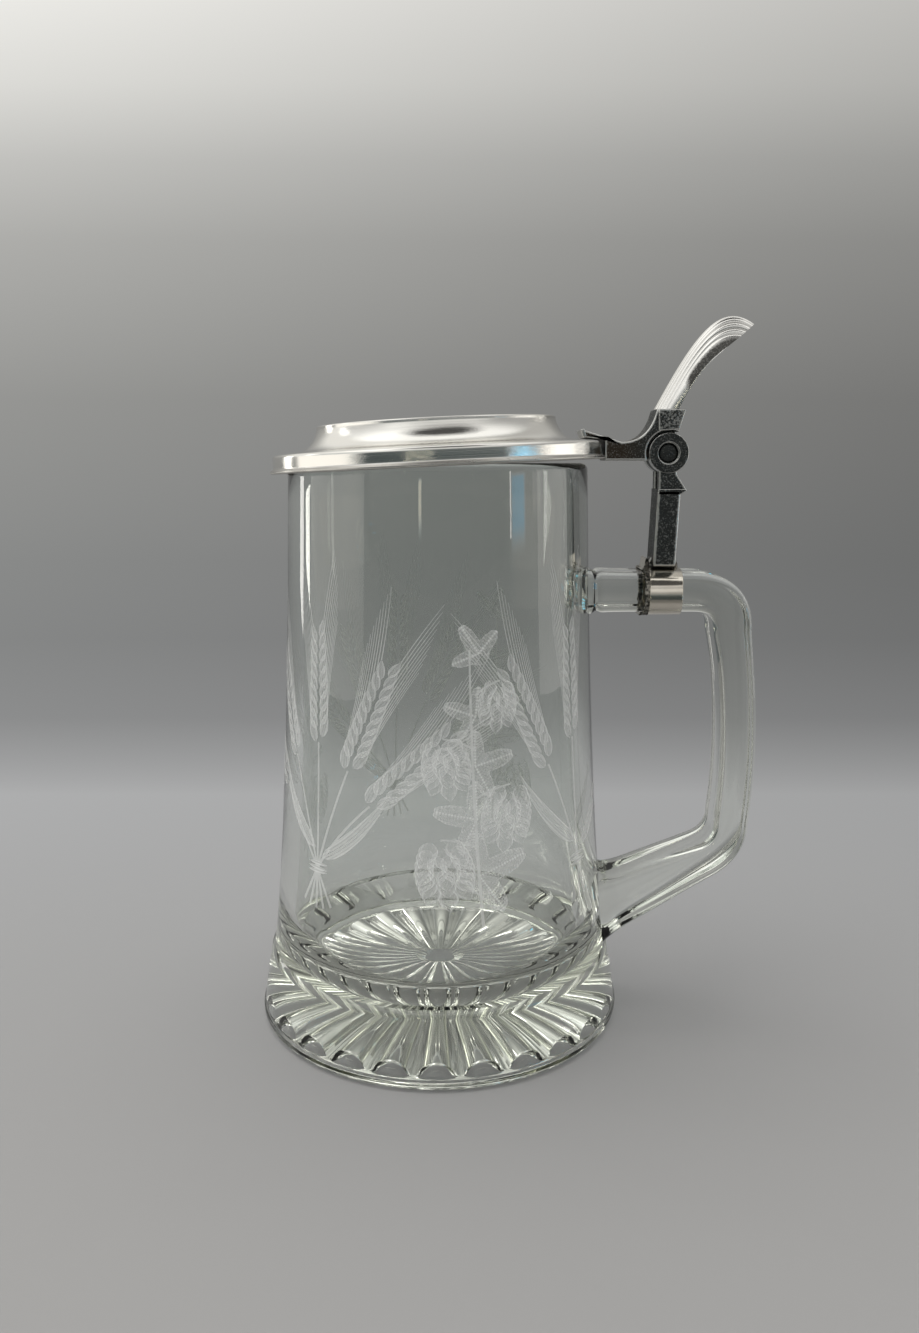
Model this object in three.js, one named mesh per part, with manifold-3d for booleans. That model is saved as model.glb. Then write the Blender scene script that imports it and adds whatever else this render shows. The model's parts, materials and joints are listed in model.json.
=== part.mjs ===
// Lidded glass beer stein: a pressed glass mug with an applied handle, and a pewter lid
// that swings on a three-knuckle hinge strapped to the handle.
// Millimetres, +Z up. The origin is the centre of the base, on the table.
// The handle and the hinge lie along +X, and the hinge axis runs along Y.

import * as THREE from "three";
import { mergeVertices } from "three/addons/utils/BufferGeometryUtils.js";
import Module from "manifold-3d";

const wasm = await Module();
wasm.setup();

// Glass body
const glassHeight = 151; // table to the top of the rim
const footRadius = 50; // the widest place, just above the table
const footEdgeHeight = 2.9; // rolled lower edge
const footEdgeStep = 0.5; // how far the rolled edge stands out from the foot's side
const footSwell = 0.8; // the foot's side swells between the seam and the rolled edge
const standingRadius = 48.6; // outer edge of the flat underside
const seamRadius = 46.4; // where the flared foot meets the body
const seamHeight = 20;
const seamStep = 0.45; // ledge left by the mould along the seam
const bodyCurveRadius = 41.6; // control point of the body's hollow curve
const bodyCurveHeight = 62;
const rimRadius = 39.2;
const rimWall = 3.6;
const floorWall = 6; // side wall beside the floor
const floorHeight = 19; // thick glass below the drink
const floorFillet = 9;

// Flutes moulded in the underside
const fluteCount = 24;
const fluteStart = 5.2; // radius of the flat disc left at the centre
const fluteReach = 45.2; // radius where the rounded outer ends stop
const fluteBlunt = 1.7; // how much shorter than a half round the outer ends are
const fluteDepth = 3.4;
const fluteLand = 0.5; // ridge left between two flutes at their outer ends

// Glass handle
const armHeight = 117.6; // middle of the level upper arm
const armThickness = 10.7;
const gripCentre = 79.4; // middle of the grip, between its two bends
const gripLean = 1; // the lower bend stands further out than the upper one
const gripBow = 1.75; // how far the grip bows outward between its bends
const gripThickness = 9.2;
const upperBend = 11;
const lowerBend = 8;
const lowerCornerHeight = 46.5; // where the grip and the sloping arm would cross
const lowerArmSlope = 26.6; // degrees
const rootThickness = 14.5; // sloping arm where it meets the body
const rootFlare = 1.6; // swelling of the sloping arm at the wall
const armFlare = 0.5; // and of the level arm
const rootFlareLength = 3;
const handleWidth = 16.6; // along Y
const handleSquareness = 4; // 2 is an ellipse, higher is more like a rectangle

// Strap around the upper arm
const bandLength = 8.6;
const bandThickness = 0.7;
const bandGap = 0.3; // bedding between the strap and the glass

// Hinge
const hingeReach = 16.9; // from the lid's side to the hinge axis
const hingeRise = 3.45; // hinge axis above the lid's lower edge
const earRadius = 5.2;
const earFace = 5.2; // outer faces of the ears, from the middle plane
const slotWidth = 4;
const slotSide = 0.2; // play beside the middle knuckle
const knuckleClearance = 0.7; // round gap between ears and bracket
const pinRadius = 2.4;
const pinPlay = 0.12; // in the turning knuckle
const pinFit = 0.1; // in the ears
const counterboreRadius = 2.8;
const counterboreDepth = 0.9;

// Post
const postWidth = 5.9; // along X
const postHalfDepth = 5.1;
const postLean = 0.7; // foot set back toward the mug
const postOffset = 0.5; // top of the post behind the hinge axis
const neckHalfDepth = 4.7;
const neckWidth = 4.6;
const neckDrop = 5.4; // hinge axis down to the top of the stop's slope
const ledgeDrop = 9.2; // hinge axis down to the ledge
const stopReach = 4.9; // tip of the opening stop, beyond the hinge axis
const stopLip = 1.5; // height of the undercut below the stop
const stopEdge = 0.5;
const gussetWidth = 1.3;
const gussetHeight = 2.2;
const gussetDepth = 3.4;

// Lid
const lidTilt = 2.7; // degrees; the hinge side stands higher than the far side
const lidOverhang = 3.7; // lid side beyond the glass rim
const lidLip = 0.9; // bead along the lower edge
const lidLipHeight = 0.7;
const lidSideHeight = 4.2;
const lidEdgeRound = 0.6;
const lidLedgeRadius = 36.8; // inner edge of the level ledge
const lidLedgeHeight = 5.2;
const lidCrownRadius = 31.2;
const lidCrownHeight = 11.5;
const lidCrownRound = 0.8;
const lidDishRadius = 27;
const lidDishDepth = 2;
const lidDome = 0.7; // the dish swells again toward its middle
const lidWall = 1.3;
const lidCeiling = 3; // underside of the ledge, above the lower edge
const restGap = 0.3; // between the lid and the rim it rests on

// Bracket that carries the lid
const bracketHalfDepth = 5.2;
const bracketGap = 0.3; // solder bed between bracket and lid
const armDrop = 2; // hinge axis down to the bottom of the bracket's arm
const armTopRise = 2.8; // hinge axis up to the top of the arm
const armTopReach = 12.3; // hollow of the arm's top, toward the lid
const blockLeft = 3.4; // block's faces, from the hinge axis
const blockRight = 4;
const blockFlare = 1.6; // block's back leans outward
const blockRise = 11.1;
const blockProud = 0.25; // block's cheeks beyond the arm's
const tongueThickness = 2.3;
const tongueReach = 5.4; // how far the tongue lies over the lid's ledge
const tongueRise = 24; // degrees

// Thumb lift
const liftGap = 0.3; // solder bed on the block
const liftReach = 21.5; // tip of the crest, beyond the hinge axis
const liftRise = 32.6;
const liftBaseWidth = 5.2; // half widths along Y
const liftTipWidth = 6.8;
const liftBaseHeight = 5.6; // crest to edge, along X at the foot
const liftTipDrop = 6.8; // crest to edge at the cut end
const liftTipBack = 8.6;
const liftStartAngle = 62; // degrees, the crest's direction at its foot
const liftEndAngle = -36;
const liftStartPull = 19;
const liftEndPull = 11.5;
const liftEdgeBow = 1.6;
const liftWall = 1.8;
const liftRidges = 9;
const liftRidgeDepth = 0.55;

const bodySegments = 72;
const lidSegments = 60;
const roundSegments = 28;
const handleStations = 32;
const handlePoints = 20;
const liftStations = 14;

const rad = THREE.MathUtils.degToRad;
const point = (x, y) => new THREE.Vector2(x, y);

// Solids, joins and cuts

function solidOf(geometry) {
  const bare = geometry.clone();
  bare.deleteAttribute("normal");
  bare.deleteAttribute("uv");
  const merged = mergeVertices(bare, 1e-4);
  const corners = merged.index.array;
  const triangles = [];
  for (let i = 0; i < corners.length; i += 3) {
    const [a, b, c] = corners.slice(i, i + 3);
    if (a !== b && b !== c && c !== a) triangles.push(a, b, c);
  }
  const mesh = new wasm.Mesh({
    numProp: 3,
    vertProperties: new Float32Array(merged.attributes.position.array),
    triVerts: new Uint32Array(triangles),
  });
  return new wasm.Manifold(mesh);
}

function geometryOf(solid) {
  const mesh = solid.getMesh();
  const geometry = new THREE.BufferGeometry();
  geometry.setAttribute("position", new THREE.BufferAttribute(mesh.vertProperties, 3));
  geometry.setIndex(new THREE.BufferAttribute(mesh.triVerts, 1));
  geometry.computeVertexNormals();
  return geometry;
}

// A profile of radius and height turned about Z.
function turned(profile, segments) {
  return new THREE.LatheGeometry(profile, segments).rotateX(Math.PI / 2);
}

// A side outline of X and Z, pulled out along Y from one depth to another.
function sideExtrude(shape, fromY, toY) {
  const options = { depth: toY - fromY, bevelEnabled: false, curveSegments: roundSegments / 2 };
  return new THREE.ExtrudeGeometry(shape, options).rotateX(Math.PI / 2).translate(0, toY, 0);
}

// A cylinder along Y about the hinge axis.
function hingeRound(radius, fromY, toY) {
  const round = new THREE.CylinderGeometry(radius, radius, toY - fromY, roundSegments);
  return solidOf(round.translate(hinge.x, (fromY + toY) / 2, hinge.z));
}

// A skin over rings of points. The two ends are closed by joining the ring's first half
// to its second, so a ring may be an arch as well as a convex outline.
function loft(rings) {
  const count = rings[0].length;
  const positions = rings.flat().flatMap((p) => [p.x, p.y, p.z]);
  const triangles = [];
  const quad = (a, b, c, d) => triangles.push(a, b, c, a, c, d);
  for (let r = 0; r + 1 < rings.length; r++) {
    for (let i = 0; i < count; i++) {
      const j = (i + 1) % count;
      quad(r * count + i, r * count + j, (r + 1) * count + j, (r + 1) * count + i);
    }
  }
  const last = (rings.length - 1) * count;
  for (let i = 0; i + 1 < count / 2; i++) {
    const k = count - 1 - i;
    quad(i, k, k - 1, i + 1);
    quad(last + i, last + i + 1, last + k - 1, last + k);
  }
  const geometry = new THREE.BufferGeometry();
  geometry.setAttribute("position", new THREE.Float32BufferAttribute(positions, 3));
  geometry.setIndex(triangles);
  return geometry;
}

// A rounded rectangle as a superellipse, as points of (width, height).
function roundedOutline(halfWidth, halfHeight, count) {
  const soften = (v) => Math.sign(v) * Math.abs(v) ** (2 / handleSquareness);
  return Array.from({ length: count }, (_, i) => {
    const angle = (2 * Math.PI * (i + 0.5)) / count;
    return point(halfWidth * soften(Math.cos(angle)), halfHeight * soften(Math.sin(angle)));
  });
}

// Places that several pieces share

const tilt = rad(lidTilt);
const lidRadius = rimRadius + lidOverhang;
const lidPlace = glassHeight + restGap - lidCeiling + rimRadius * Math.tan(tilt);
const hinge = { x: lidRadius + hingeReach, z: lidPlace + hingeRise };
const ledge = hinge.z - ledgeDrop;
const blockTop = hinge.z + blockRise;
const postTopX = hinge.x + postOffset;
const bandHalfHeight = armThickness / 2 + bandGap + bandThickness;
const bandHalfWidth = handleWidth / 2 + bandGap + bandThickness;
const bandTop = armHeight + bandHalfHeight;
const bandCentre = postTopX - postLean;
const relief = earRadius + knuckleClearance;

// Glass body

function bodyCurve() {
  return new THREE.QuadraticBezierCurve(
    point(seamRadius, seamHeight),
    point(bodyCurveRadius, bodyCurveHeight),
    point(rimRadius, glassHeight - rimWall / 2),
  );
}

function glassOutside() {
  const side = new THREE.QuadraticBezierCurve(
    point(footRadius - footEdgeStep, footEdgeHeight + footEdgeStep),
    point((footRadius + seamRadius) / 2 + footSwell, seamHeight / 2),
    point(seamRadius + seamStep, seamHeight - seamStep),
  );
  return [
    point(standingRadius, 0),
    point(footRadius, footEdgeHeight / 2),
    point(footRadius, footEdgeHeight),
    ...side.getPoints(4),
    ...bodyCurve().getPoints(8),
  ];
}

function glassBody() {
  const outside = glassOutside();
  const rim = new THREE.EllipseCurve(
    rimRadius - rimWall / 2, glassHeight - rimWall / 2, rimWall / 2, rimWall / 2, 0, Math.PI,
  ).getPoints(6);
  const wallTop = rim.at(-1);
  const wallFoot = point(seamRadius - floorWall, floorHeight + floorFillet);
  const hollow = bodyCurveRadius - (rimWall + floorWall) / 2;
  const inside = new THREE.QuadraticBezierCurve(
    wallTop, point(hollow, bodyCurveHeight), wallFoot,
  ).getPoints(5);
  const corner = new THREE.EllipseCurve(
    wallFoot.x - floorFillet, wallFoot.y, floorFillet, floorFillet, 0, -Math.PI / 2, true,
  ).getPoints(5);
  const profile = [
    point(0, 0),
    ...outside, ...rim.slice(1), ...inside.slice(1), ...corner.slice(1),
    point(0, floorHeight),
  ];
  return solidOf(turned(profile, bodySegments)).subtract(flutes());
}

// One flute is a cone from the middle of the base with a blunt round outer end, sunk so that
// it meets the underside in lines that leave an even ridge between neighbours.
function flutes() {
  const spread = Math.tan(Math.PI / fluteCount);
  const ballCentre = (fluteReach + fluteLand / (2 * fluteBlunt)) / (1 + spread / fluteBlunt);
  const halfWidth = ballCentre * spread - fluteLand / 2;
  const ballRadius = (halfWidth ** 2 + fluteDepth ** 2) / (2 * fluteDepth);
  const sink = ballRadius - fluteDepth;
  const length = Math.hypot(ballCentre, sink);
  const ballLength = ballRadius / fluteBlunt;
  const roundEnd = new THREE.EllipseCurve(0, length, ballRadius, ballLength, 0, Math.PI / 2);
  const profile = [
    point(0, fluteStart), point((ballRadius * fluteStart) / length, fluteStart),
    ...roundEnd.getPoints(4).slice(0, -1), point(0, length + ballLength),
  ];
  const cutter = new THREE.LatheGeometry(profile, 10)
    .rotateZ(-Math.PI / 2).rotateY(Math.atan2(sink, ballCentre));
  const all = [];
  for (let i = 0; i < fluteCount; i++) {
    all.push(solidOf(cutter.clone().rotateZ((2 * Math.PI * i) / fluteCount)));
  }
  return wasm.Manifold.union(all);
}

// Glass handle

function handlePath() {
  const slope = rad(lowerArmSlope);
  const inward = new THREE.Vector3(-Math.cos(slope), 0, -Math.sin(slope));
  const at = (x, z) => new THREE.Vector3(x, 0, z);
  const [topX, footX] = [gripCentre - gripLean, gripCentre + gripLean];
  const gripTop = at(topX, armHeight - upperBend);
  const gripFoot = at(footX, lowerCornerHeight + lowerBend);
  const corner = at(footX, lowerCornerHeight);
  const bowed = at(gripCentre + 2 * gripBow, (gripTop.z + gripFoot.z) / 2);
  const armEnd = at(topX - upperBend, armHeight);
  const slopeStart = corner.clone().addScaledVector(inward, lowerBend);
  const slopeLength = (footX - rimRadius) / Math.cos(slope);
  const root = corner.clone().addScaledVector(inward, slopeLength);
  const path = new THREE.CurvePath();
  path.add(new THREE.LineCurve3(at(rimRadius - rimWall, armHeight), armEnd));
  path.add(new THREE.QuadraticBezierCurve3(armEnd, at(topX, armHeight), gripTop));
  path.add(new THREE.QuadraticBezierCurve3(gripTop, bowed, gripFoot));
  path.add(new THREE.QuadraticBezierCurve3(gripFoot, corner, slopeStart));
  path.add(new THREE.LineCurve3(slopeStart, root));
  return path;
}

function bodyRadiusAt(height) {
  const outside = glassOutside();
  const above = outside.findIndex((p) => p.y >= height);
  const [a, b] = [outside[above - 1], outside[above]];
  return a.x + ((b.x - a.x) * (height - a.y)) / (b.y - a.y);
}

function glassHandle() {
  const path = handlePath();
  const bend = THREE.MathUtils.smoothstep;
  const rings = [];
  for (let s = 0; s <= handleStations; s++) {
    const u = s / handleStations;
    const centre = path.getPointAt(u);
    const along = path.getTangentAt(u);
    const up = new THREE.Vector3(-along.z, 0, along.x);
    const fromWall = Math.max(0, centre.x - bodyRadiusAt(centre.z));
    const onArm = centre.z > lowerCornerHeight + lowerBend;
    const flare = (onArm ? armFlare : rootFlare) * Math.exp(-fromWall / rootFlareLength);
    const upper = bend(centre.z, armHeight - 2 * upperBend, armHeight);
    const lower = 1 - bend(centre.x, seamRadius, gripCentre + gripBow);
    const wide = onArm
      ? THREE.MathUtils.lerp(gripThickness, armThickness, upper)
      : THREE.MathUtils.lerp(gripThickness, rootThickness, lower);
    rings.push(
      roundedOutline(handleWidth / 2 + flare, wide / 2 + flare, handlePoints)
        .map((p) => centre.clone().addScaledVector(up, p.y).setY(p.x)),
    );
  }
  return solidOf(loft(rings)).subtract(bodyEnvelope());
}

// The body's outside grown by the bedding gap, to cut the ends of the handle to its wall.
function bodyEnvelope() {
  const grown = glassOutside().map((p) => point(p.x + bandGap, p.y));
  return solidOf(turned([point(0, 0), ...grown, point(0, glassHeight)], bodySegments));
}

// Strap

// Points of (height, width), so that an extrusion turned along the arm stands upright.
function bandOutline(grow) {
  return roundedOutline(bandHalfHeight + grow, bandHalfWidth + grow, 2 * handlePoints);
}

// A strap outline pulled out along X and centred on the arm.
function alongArm(shape, length) {
  return new THREE.ExtrudeGeometry(shape, { depth: length, bevelEnabled: false })
    .translate(0, 0, -length / 2).rotateY(Math.PI / 2).translate(bandCentre, 0, armHeight);
}

function handleBand() {
  const strap = new THREE.Shape(bandOutline(0));
  strap.holes.push(new THREE.Path(bandOutline(-bandThickness)));
  return solidOf(alongArm(strap, bandLength));
}

// Post with its fork, ears and opening stop

function hingePost() {
  const half = postWidth / 2;
  const footX = bandCentre;
  const stopTip = hinge.x + stopReach;
  const column = new THREE.Shape([
    point(footX - half, armHeight), point(footX + half, armHeight),
    point(postTopX + half, ledge - stopLip), point(stopTip, ledge - stopEdge),
    point(stopTip, ledge), point(postTopX - half, ledge),
  ]);
  const neckTop = hinge.z - neckDrop;
  const neck = new THREE.Shape([
    point(postTopX - half, ledge), point(stopTip, ledge),
    point(hinge.x + neckWidth / 2, neckTop), point(hinge.x + neckWidth / 2, hinge.z),
    point(hinge.x - neckWidth / 2, hinge.z), point(hinge.x - neckWidth / 2, neckTop),
  ]);
  const gussetTop = bandTop + gussetHeight;
  const gusset = new THREE.Shape([
    point(footX - half - gussetWidth, armHeight), point(footX + half + gussetWidth, armHeight),
    point(footX + half + gussetWidth, bandTop), point(footX + half, gussetTop),
    point(footX - half, gussetTop), point(footX - half - gussetWidth, bandTop),
  ]);
  const slot = new THREE.BoxGeometry(4 * earRadius, slotWidth, 2 * ledgeDrop)
    .translate(hinge.x, 0, ledge + ledgeDrop + slotSide);
  const bandSeat = alongArm(new THREE.Shape(bandOutline(bandGap)), postWidth + 4 * gussetWidth);
  return solidOf(sideExtrude(column, -postHalfDepth, postHalfDepth))
    .add(solidOf(sideExtrude(neck, -neckHalfDepth, neckHalfDepth)))
    .add(solidOf(sideExtrude(gusset, -gussetDepth / 2, gussetDepth / 2)))
    .add(hingeRound(earRadius, -earFace, earFace))
    .subtract(solidOf(slot))
    .subtract(hingeRound(counterboreRadius, -2 * earFace, counterboreDepth - earFace))
    .subtract(hingeRound(counterboreRadius, earFace - counterboreDepth, 2 * earFace))
    .subtract(hingeRound(pinRadius + pinFit, -earFace, earFace))
    .subtract(solidOf(bandSeat));
}

function hingePin() {
  const half = earFace - counterboreDepth;
  return hingeRound(pinRadius, -half, half);
}

// Lid, in its own frame: its axis upright and its lower edge at height 0

function lidTop() {
  const crownSide = lidCrownHeight - lidCrownRound;
  const waist = new THREE.EllipseCurve(
    lidLedgeRadius, crownSide, lidLedgeRadius - lidCrownRadius, crownSide - lidLedgeHeight,
    Math.PI, 1.5 * Math.PI,
  ).getPoints(6);
  const crown = new THREE.EllipseCurve(
    lidCrownRadius - lidCrownRound, crownSide, lidCrownRound, lidCrownRound, Math.PI, 0, true,
  ).getPoints(3);
  const dishHeight = lidCrownHeight - lidDishDepth;
  return [
    point(0, dishHeight + lidDome), point(lidDishRadius / 2, dishHeight + 0.75 * lidDome),
    point(lidDishRadius, dishHeight), ...crown, ...waist.slice(1),
    point(lidRadius - lidEdgeRound, lidSideHeight + lidEdgeRound / 2),
    point(lidRadius, lidSideHeight - lidEdgeRound / 2),
    point(lidRadius, lidLipHeight + lidLip / 2), point(lidRadius + lidLip, lidLipHeight),
    point(lidRadius + lidLip, 0),
  ];
}

function lidShell() {
  const under = lidCrownHeight - lidDishDepth - lidWall;
  const inner = lidCrownRadius - lidWall;
  const waist = new THREE.EllipseCurve(
    lidLedgeRadius - lidWall, under, lidLedgeRadius - lidCrownRadius, under - lidCeiling,
    1.5 * Math.PI, Math.PI, true,
  ).getPoints(5);
  const profile = [
    ...lidTop(), point(lidRadius - lidWall, 0), point(lidRadius - lidWall, lidCeiling),
    ...waist, point(inner - lidWall, under + lidCrownRound),
    point(lidDishRadius, under), point(0, under + lidDome),
  ];
  return solidOf(turned(profile.reverse(), lidSegments));
}

function lidEnvelope() {
  const grown = lidTop().map((p) => point(p.x ? p.x + bracketGap : 0, p.y + bracketGap));
  const below = -lidSideHeight;
  grown.push(point(lidRadius + lidLip + bracketGap, below), point(0, below));
  const envelope = turned(grown.reverse(), lidSegments * 2);
  return solidOf(envelope.rotateY(-tilt).translate(0, 0, lidPlace));
}

// Bracket

function bracketOutline(aroundHinge) {
  const armBottom = hinge.z - armDrop;
  const armTop = hinge.z + armTopRise;
  const rise = rad(tongueRise);
  const foot = lidRadius;
  const ledgeTop = lidPlace + lidSideHeight + lidEdgeRound / 2 + foot * Math.tan(tilt);
  const tongueEnd = point(foot - tongueReach, ledgeTop + tongueReach * Math.tan(rise));
  const heel = Math.acos((blockRight - blockFlare) / relief); // where the back meets the relief
  const back = point(hinge.x + blockRight - blockFlare, hinge.z + relief * Math.sin(heel));
  const shape = new THREE.Shape();
  shape.moveTo(foot - lidOverhang, armBottom);
  aroundHinge(shape, armBottom, heel);
  shape.lineTo(back.x, back.y);
  shape.lineTo(hinge.x + blockRight, blockTop);
  shape.lineTo(hinge.x - blockLeft, blockTop);
  shape.quadraticCurveTo(hinge.x - earRadius, armTop, hinge.x - armTopReach, armTop);
  shape.lineTo(tongueEnd.x - tongueThickness * Math.sin(rise), tongueEnd.y + tongueThickness);
  shape.lineTo(tongueEnd.x, tongueEnd.y - tongueThickness / 2);
  shape.lineTo(foot - lidOverhang, ledgeTop - tongueThickness);
  return shape;
}

function lidBracket() {
  const relieved = bracketOutline((shape, armBottom, heel) => {
    const start = Math.PI + Math.asin(armDrop / relief);
    shape.lineTo(hinge.x + relief * Math.cos(start), armBottom);
    shape.absarc(hinge.x, hinge.z, relief, start, heel, true);
  });
  const webbed = bracketOutline((shape, armBottom) => {
    shape.lineTo(hinge.x - earRadius, armBottom);
    shape.lineTo(hinge.x, hinge.z);
  });
  const heelX = blockRight - blockFlare;
  const block = new THREE.Shape([
    point(hinge.x - blockLeft, hinge.z + relief), point(hinge.x + heelX, hinge.z + relief),
    point(hinge.x + blockRight, blockTop), point(hinge.x - blockLeft, blockTop),
  ]);
  const cheek = bracketHalfDepth + blockProud;
  const knuckle = slotWidth / 2 - slotSide;
  return solidOf(sideExtrude(relieved, -bracketHalfDepth, bracketHalfDepth))
    .add(solidOf(sideExtrude(block, -cheek, cheek)))
    .add(solidOf(sideExtrude(webbed, -knuckle, knuckle)))
    .add(hingeRound(earRadius, -knuckle, knuckle))
    .subtract(hingeRound(pinRadius + pinPlay, -earFace, earFace))
    .subtract(lidEnvelope());
}

// Thumb lift: an arched, reeded shell drawn along two rails, its crest and its edges.

function thumbLift() {
  const toward = (angle, length) =>
    new THREE.Vector3(Math.cos(rad(angle)), 0, Math.sin(rad(angle))).multiplyScalar(length);
  const foot = new THREE.Vector3(hinge.x - blockLeft, 0, blockTop + liftGap);
  const tip = new THREE.Vector3(hinge.x + liftReach, 0, hinge.z + liftRise);
  const crest = new THREE.CubicBezierCurve3(
    foot, toward(liftStartAngle, liftStartPull).add(foot),
    toward(liftEndAngle, -liftEndPull).add(tip), tip,
  );
  const edgeFoot = foot.clone().setX(foot.x + liftBaseHeight);
  const edgeTip = new THREE.Vector3(tip.x - liftTipBack, 0, tip.z - liftTipDrop);
  const between = edgeFoot.clone().lerp(edgeTip, 0.5).add(new THREE.Vector3(-liftEdgeBow, 0, liftEdgeBow));
  const edge = new THREE.QuadraticBezierCurve3(edgeFoot, between, edgeTip);
  const across = 2 * liftRidges;
  const rings = [];
  for (let s = 0; s <= liftStations; s++) {
    const t = s / liftStations;
    const top = crest.getPoint(t);
    const down = edge.getPoint(t).sub(top);
    const height = down.length();
    down.normalize();
    const width = THREE.MathUtils.lerp(liftBaseWidth, liftTipWidth, t);
    const arch = (shrink, ridge) => Array.from({ length: across + 1 }, (_, i) => {
      const angle = Math.PI * (0.5 - i / across);
      const groove = ridge && i % 2 === 0 ? liftRidgeDepth * t : 0;
      const out = width - shrink - groove;
      const fall = height - (height - shrink - groove) * Math.cos(angle);
      return top.clone().addScaledVector(down, fall).setY(out * Math.sin(angle));
    });
    rings.push([...arch(0, true), ...arch(liftWall, false).reverse()]);
  }
  return solidOf(loft(rings));
}

// Assembly

const finish = (color, roughness, metalness) => ({ color, roughness, metalness });
const clearGlass = finish(0xc9d3cf, 0.04, 0);
const pewter = finish(0xb9b8b4, 0.28, 1);
const darkCast = finish(0x4d4c48, 0.55, 1);
const nickel = finish(0xc8c2b4, 0.22, 1);

function piece(name, solid, look) {
  const mesh = new THREE.Mesh(geometryOf(solid), new THREE.MeshStandardMaterial(look));
  mesh.name = name;
  return mesh;
}

const stein = new THREE.Group();
stein.add(
  piece("glass_body", glassBody(), clearGlass),
  piece("glass_handle", glassHandle(), clearGlass),
  piece("handle_band", handleBand(), nickel),
  piece("hinge_post", hingePost(), darkCast),
  piece("hinge_pin", hingePin(), darkCast),
  piece("lid_bracket", lidBracket(), darkCast),
  piece("thumb_lift", thumbLift(), pewter),
);

const lidFrame = new THREE.Group();
lidFrame.position.z = lidPlace;
lidFrame.rotation.y = -tilt;
lidFrame.add(piece("lid_shell", lidShell(), pewter));
stein.add(lidFrame);

export default stein;
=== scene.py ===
import json
from types import SimpleNamespace

import bmesh
import bpy
import numpy as np
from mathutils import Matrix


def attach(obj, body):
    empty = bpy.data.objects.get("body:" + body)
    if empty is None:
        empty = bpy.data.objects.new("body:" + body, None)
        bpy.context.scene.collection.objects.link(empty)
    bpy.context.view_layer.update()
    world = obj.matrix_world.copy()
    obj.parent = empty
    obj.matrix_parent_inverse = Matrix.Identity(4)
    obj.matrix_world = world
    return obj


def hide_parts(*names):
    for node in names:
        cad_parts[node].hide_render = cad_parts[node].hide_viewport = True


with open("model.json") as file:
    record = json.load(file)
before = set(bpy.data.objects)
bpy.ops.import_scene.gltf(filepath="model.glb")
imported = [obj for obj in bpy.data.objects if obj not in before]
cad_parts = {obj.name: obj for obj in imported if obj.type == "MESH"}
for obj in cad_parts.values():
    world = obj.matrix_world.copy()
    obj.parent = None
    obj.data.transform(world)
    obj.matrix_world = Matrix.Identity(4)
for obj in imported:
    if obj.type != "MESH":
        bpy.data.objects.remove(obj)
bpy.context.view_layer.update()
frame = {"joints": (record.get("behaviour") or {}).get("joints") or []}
mm = 0.001  # sizes below are in millimetres, meshes in metres
hingeX, hingeZ = (v / mm for v in frame["joints"][0]["pos_m"][::2])
print("frame loaded, hinge at", round(hingeX, 2), round(hingeZ, 2))


def sizes(piece):  # a piece's dictionary, read by name
    return SimpleNamespace(**piece)


# curves and outlines, all as arrays of points

def smoothStep(x, low, high):
    t = np.clip((x - low) / (high - low), 0, 1)
    return t * t * (3 - 2 * t)


def bent(a, b, c, count):  # quadratic curve from a to c, drawn toward b
    t = np.linspace(0, 1, count)[:, None]
    return (1 - t) ** 2 * np.array(a) + 2 * t * (1 - t) * np.array(b) + t ** 2 * np.array(c)


def straight(a, b, count):
    t = np.linspace(0, 1, count)[:, None]
    return (1 - t) * np.array(a, float) + t * np.array(b, float)


def lengths(vectors):
    return np.maximum(np.linalg.norm(vectors, axis=1, keepdims=True), 1e-9)


def runLength(path):  # how far along its path each point lies
    return np.concatenate([[0], np.cumsum(np.linalg.norm(np.diff(path, axis=0), axis=1))])


def arc(centre, radius, start, end, count):  # angles in degrees
    a = np.radians(np.linspace(start, end, count))
    return np.array(centre) + radius * np.stack([np.cos(a), np.sin(a)], -1)


# corners joined by straight runs; each corner is eased by a quadratic bend that starts
# and ends at its reach from the corner
def eased(corners, reach, count=6, closed=False):
    c = np.array(corners, float)
    back, on = np.roll(c, 1, 0) - c, np.roll(c, -1, 0) - c
    backLength, onLength = lengths(back), lengths(on)
    r = np.broadcast_to(reach, len(c))[:, None]
    start = c + back / backLength * np.minimum(r, 0.45 * backLength)
    end = c + on / onLength * np.minimum(r, 0.45 * onLength)
    t = np.linspace(0, 1, count)[None, :, None]
    curve = (1 - t) ** 2 * start[:, None] + 2 * t * (1 - t) * c[:, None] + t ** 2 * end[:, None]
    if closed:
        return curve.reshape(-1, 2)
    return np.concatenate([c[:1], curve[1:-1].reshape(-1, 2), c[-1:]])


# a superellipse: cosine and sine raised to a power below one square the round
def roundedRing(halfWidth, halfHeight, squareness, count):
    a = np.linspace(0, 2 * np.pi, count, endpoint=False)
    soften = lambda v: np.sign(v) * np.abs(v) ** (2 / squareness)
    return np.stack([halfWidth * soften(np.cos(a)), halfHeight * soften(np.sin(a))], -1)


def sideways(along):  # unit vectors square to these, on their right
    aside = np.stack([along[:, 1], -along[:, 0]], -1)
    return aside / lengths(aside)


def outward(outline):  # unit normals of a closed outline that runs anticlockwise
    return sideways(np.roll(outline, -1, 0) - np.roll(outline, 1, 0))


# surfaces, each a dictionary of points, faces and values carried by the points

def gridFaces(rows, cols, wrapRows=False, wrapCols=False):
    i, j = np.meshgrid(np.arange(rows - (not wrapRows)), np.arange(cols - (not wrapCols)), indexing="ij")
    i2, j2 = (i + 1) % rows, (j + 1) % cols
    return np.stack([i * cols + j, i * cols + j2, i2 * cols + j2, i2 * cols + j], -1).reshape(-1, 4).tolist()


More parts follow.
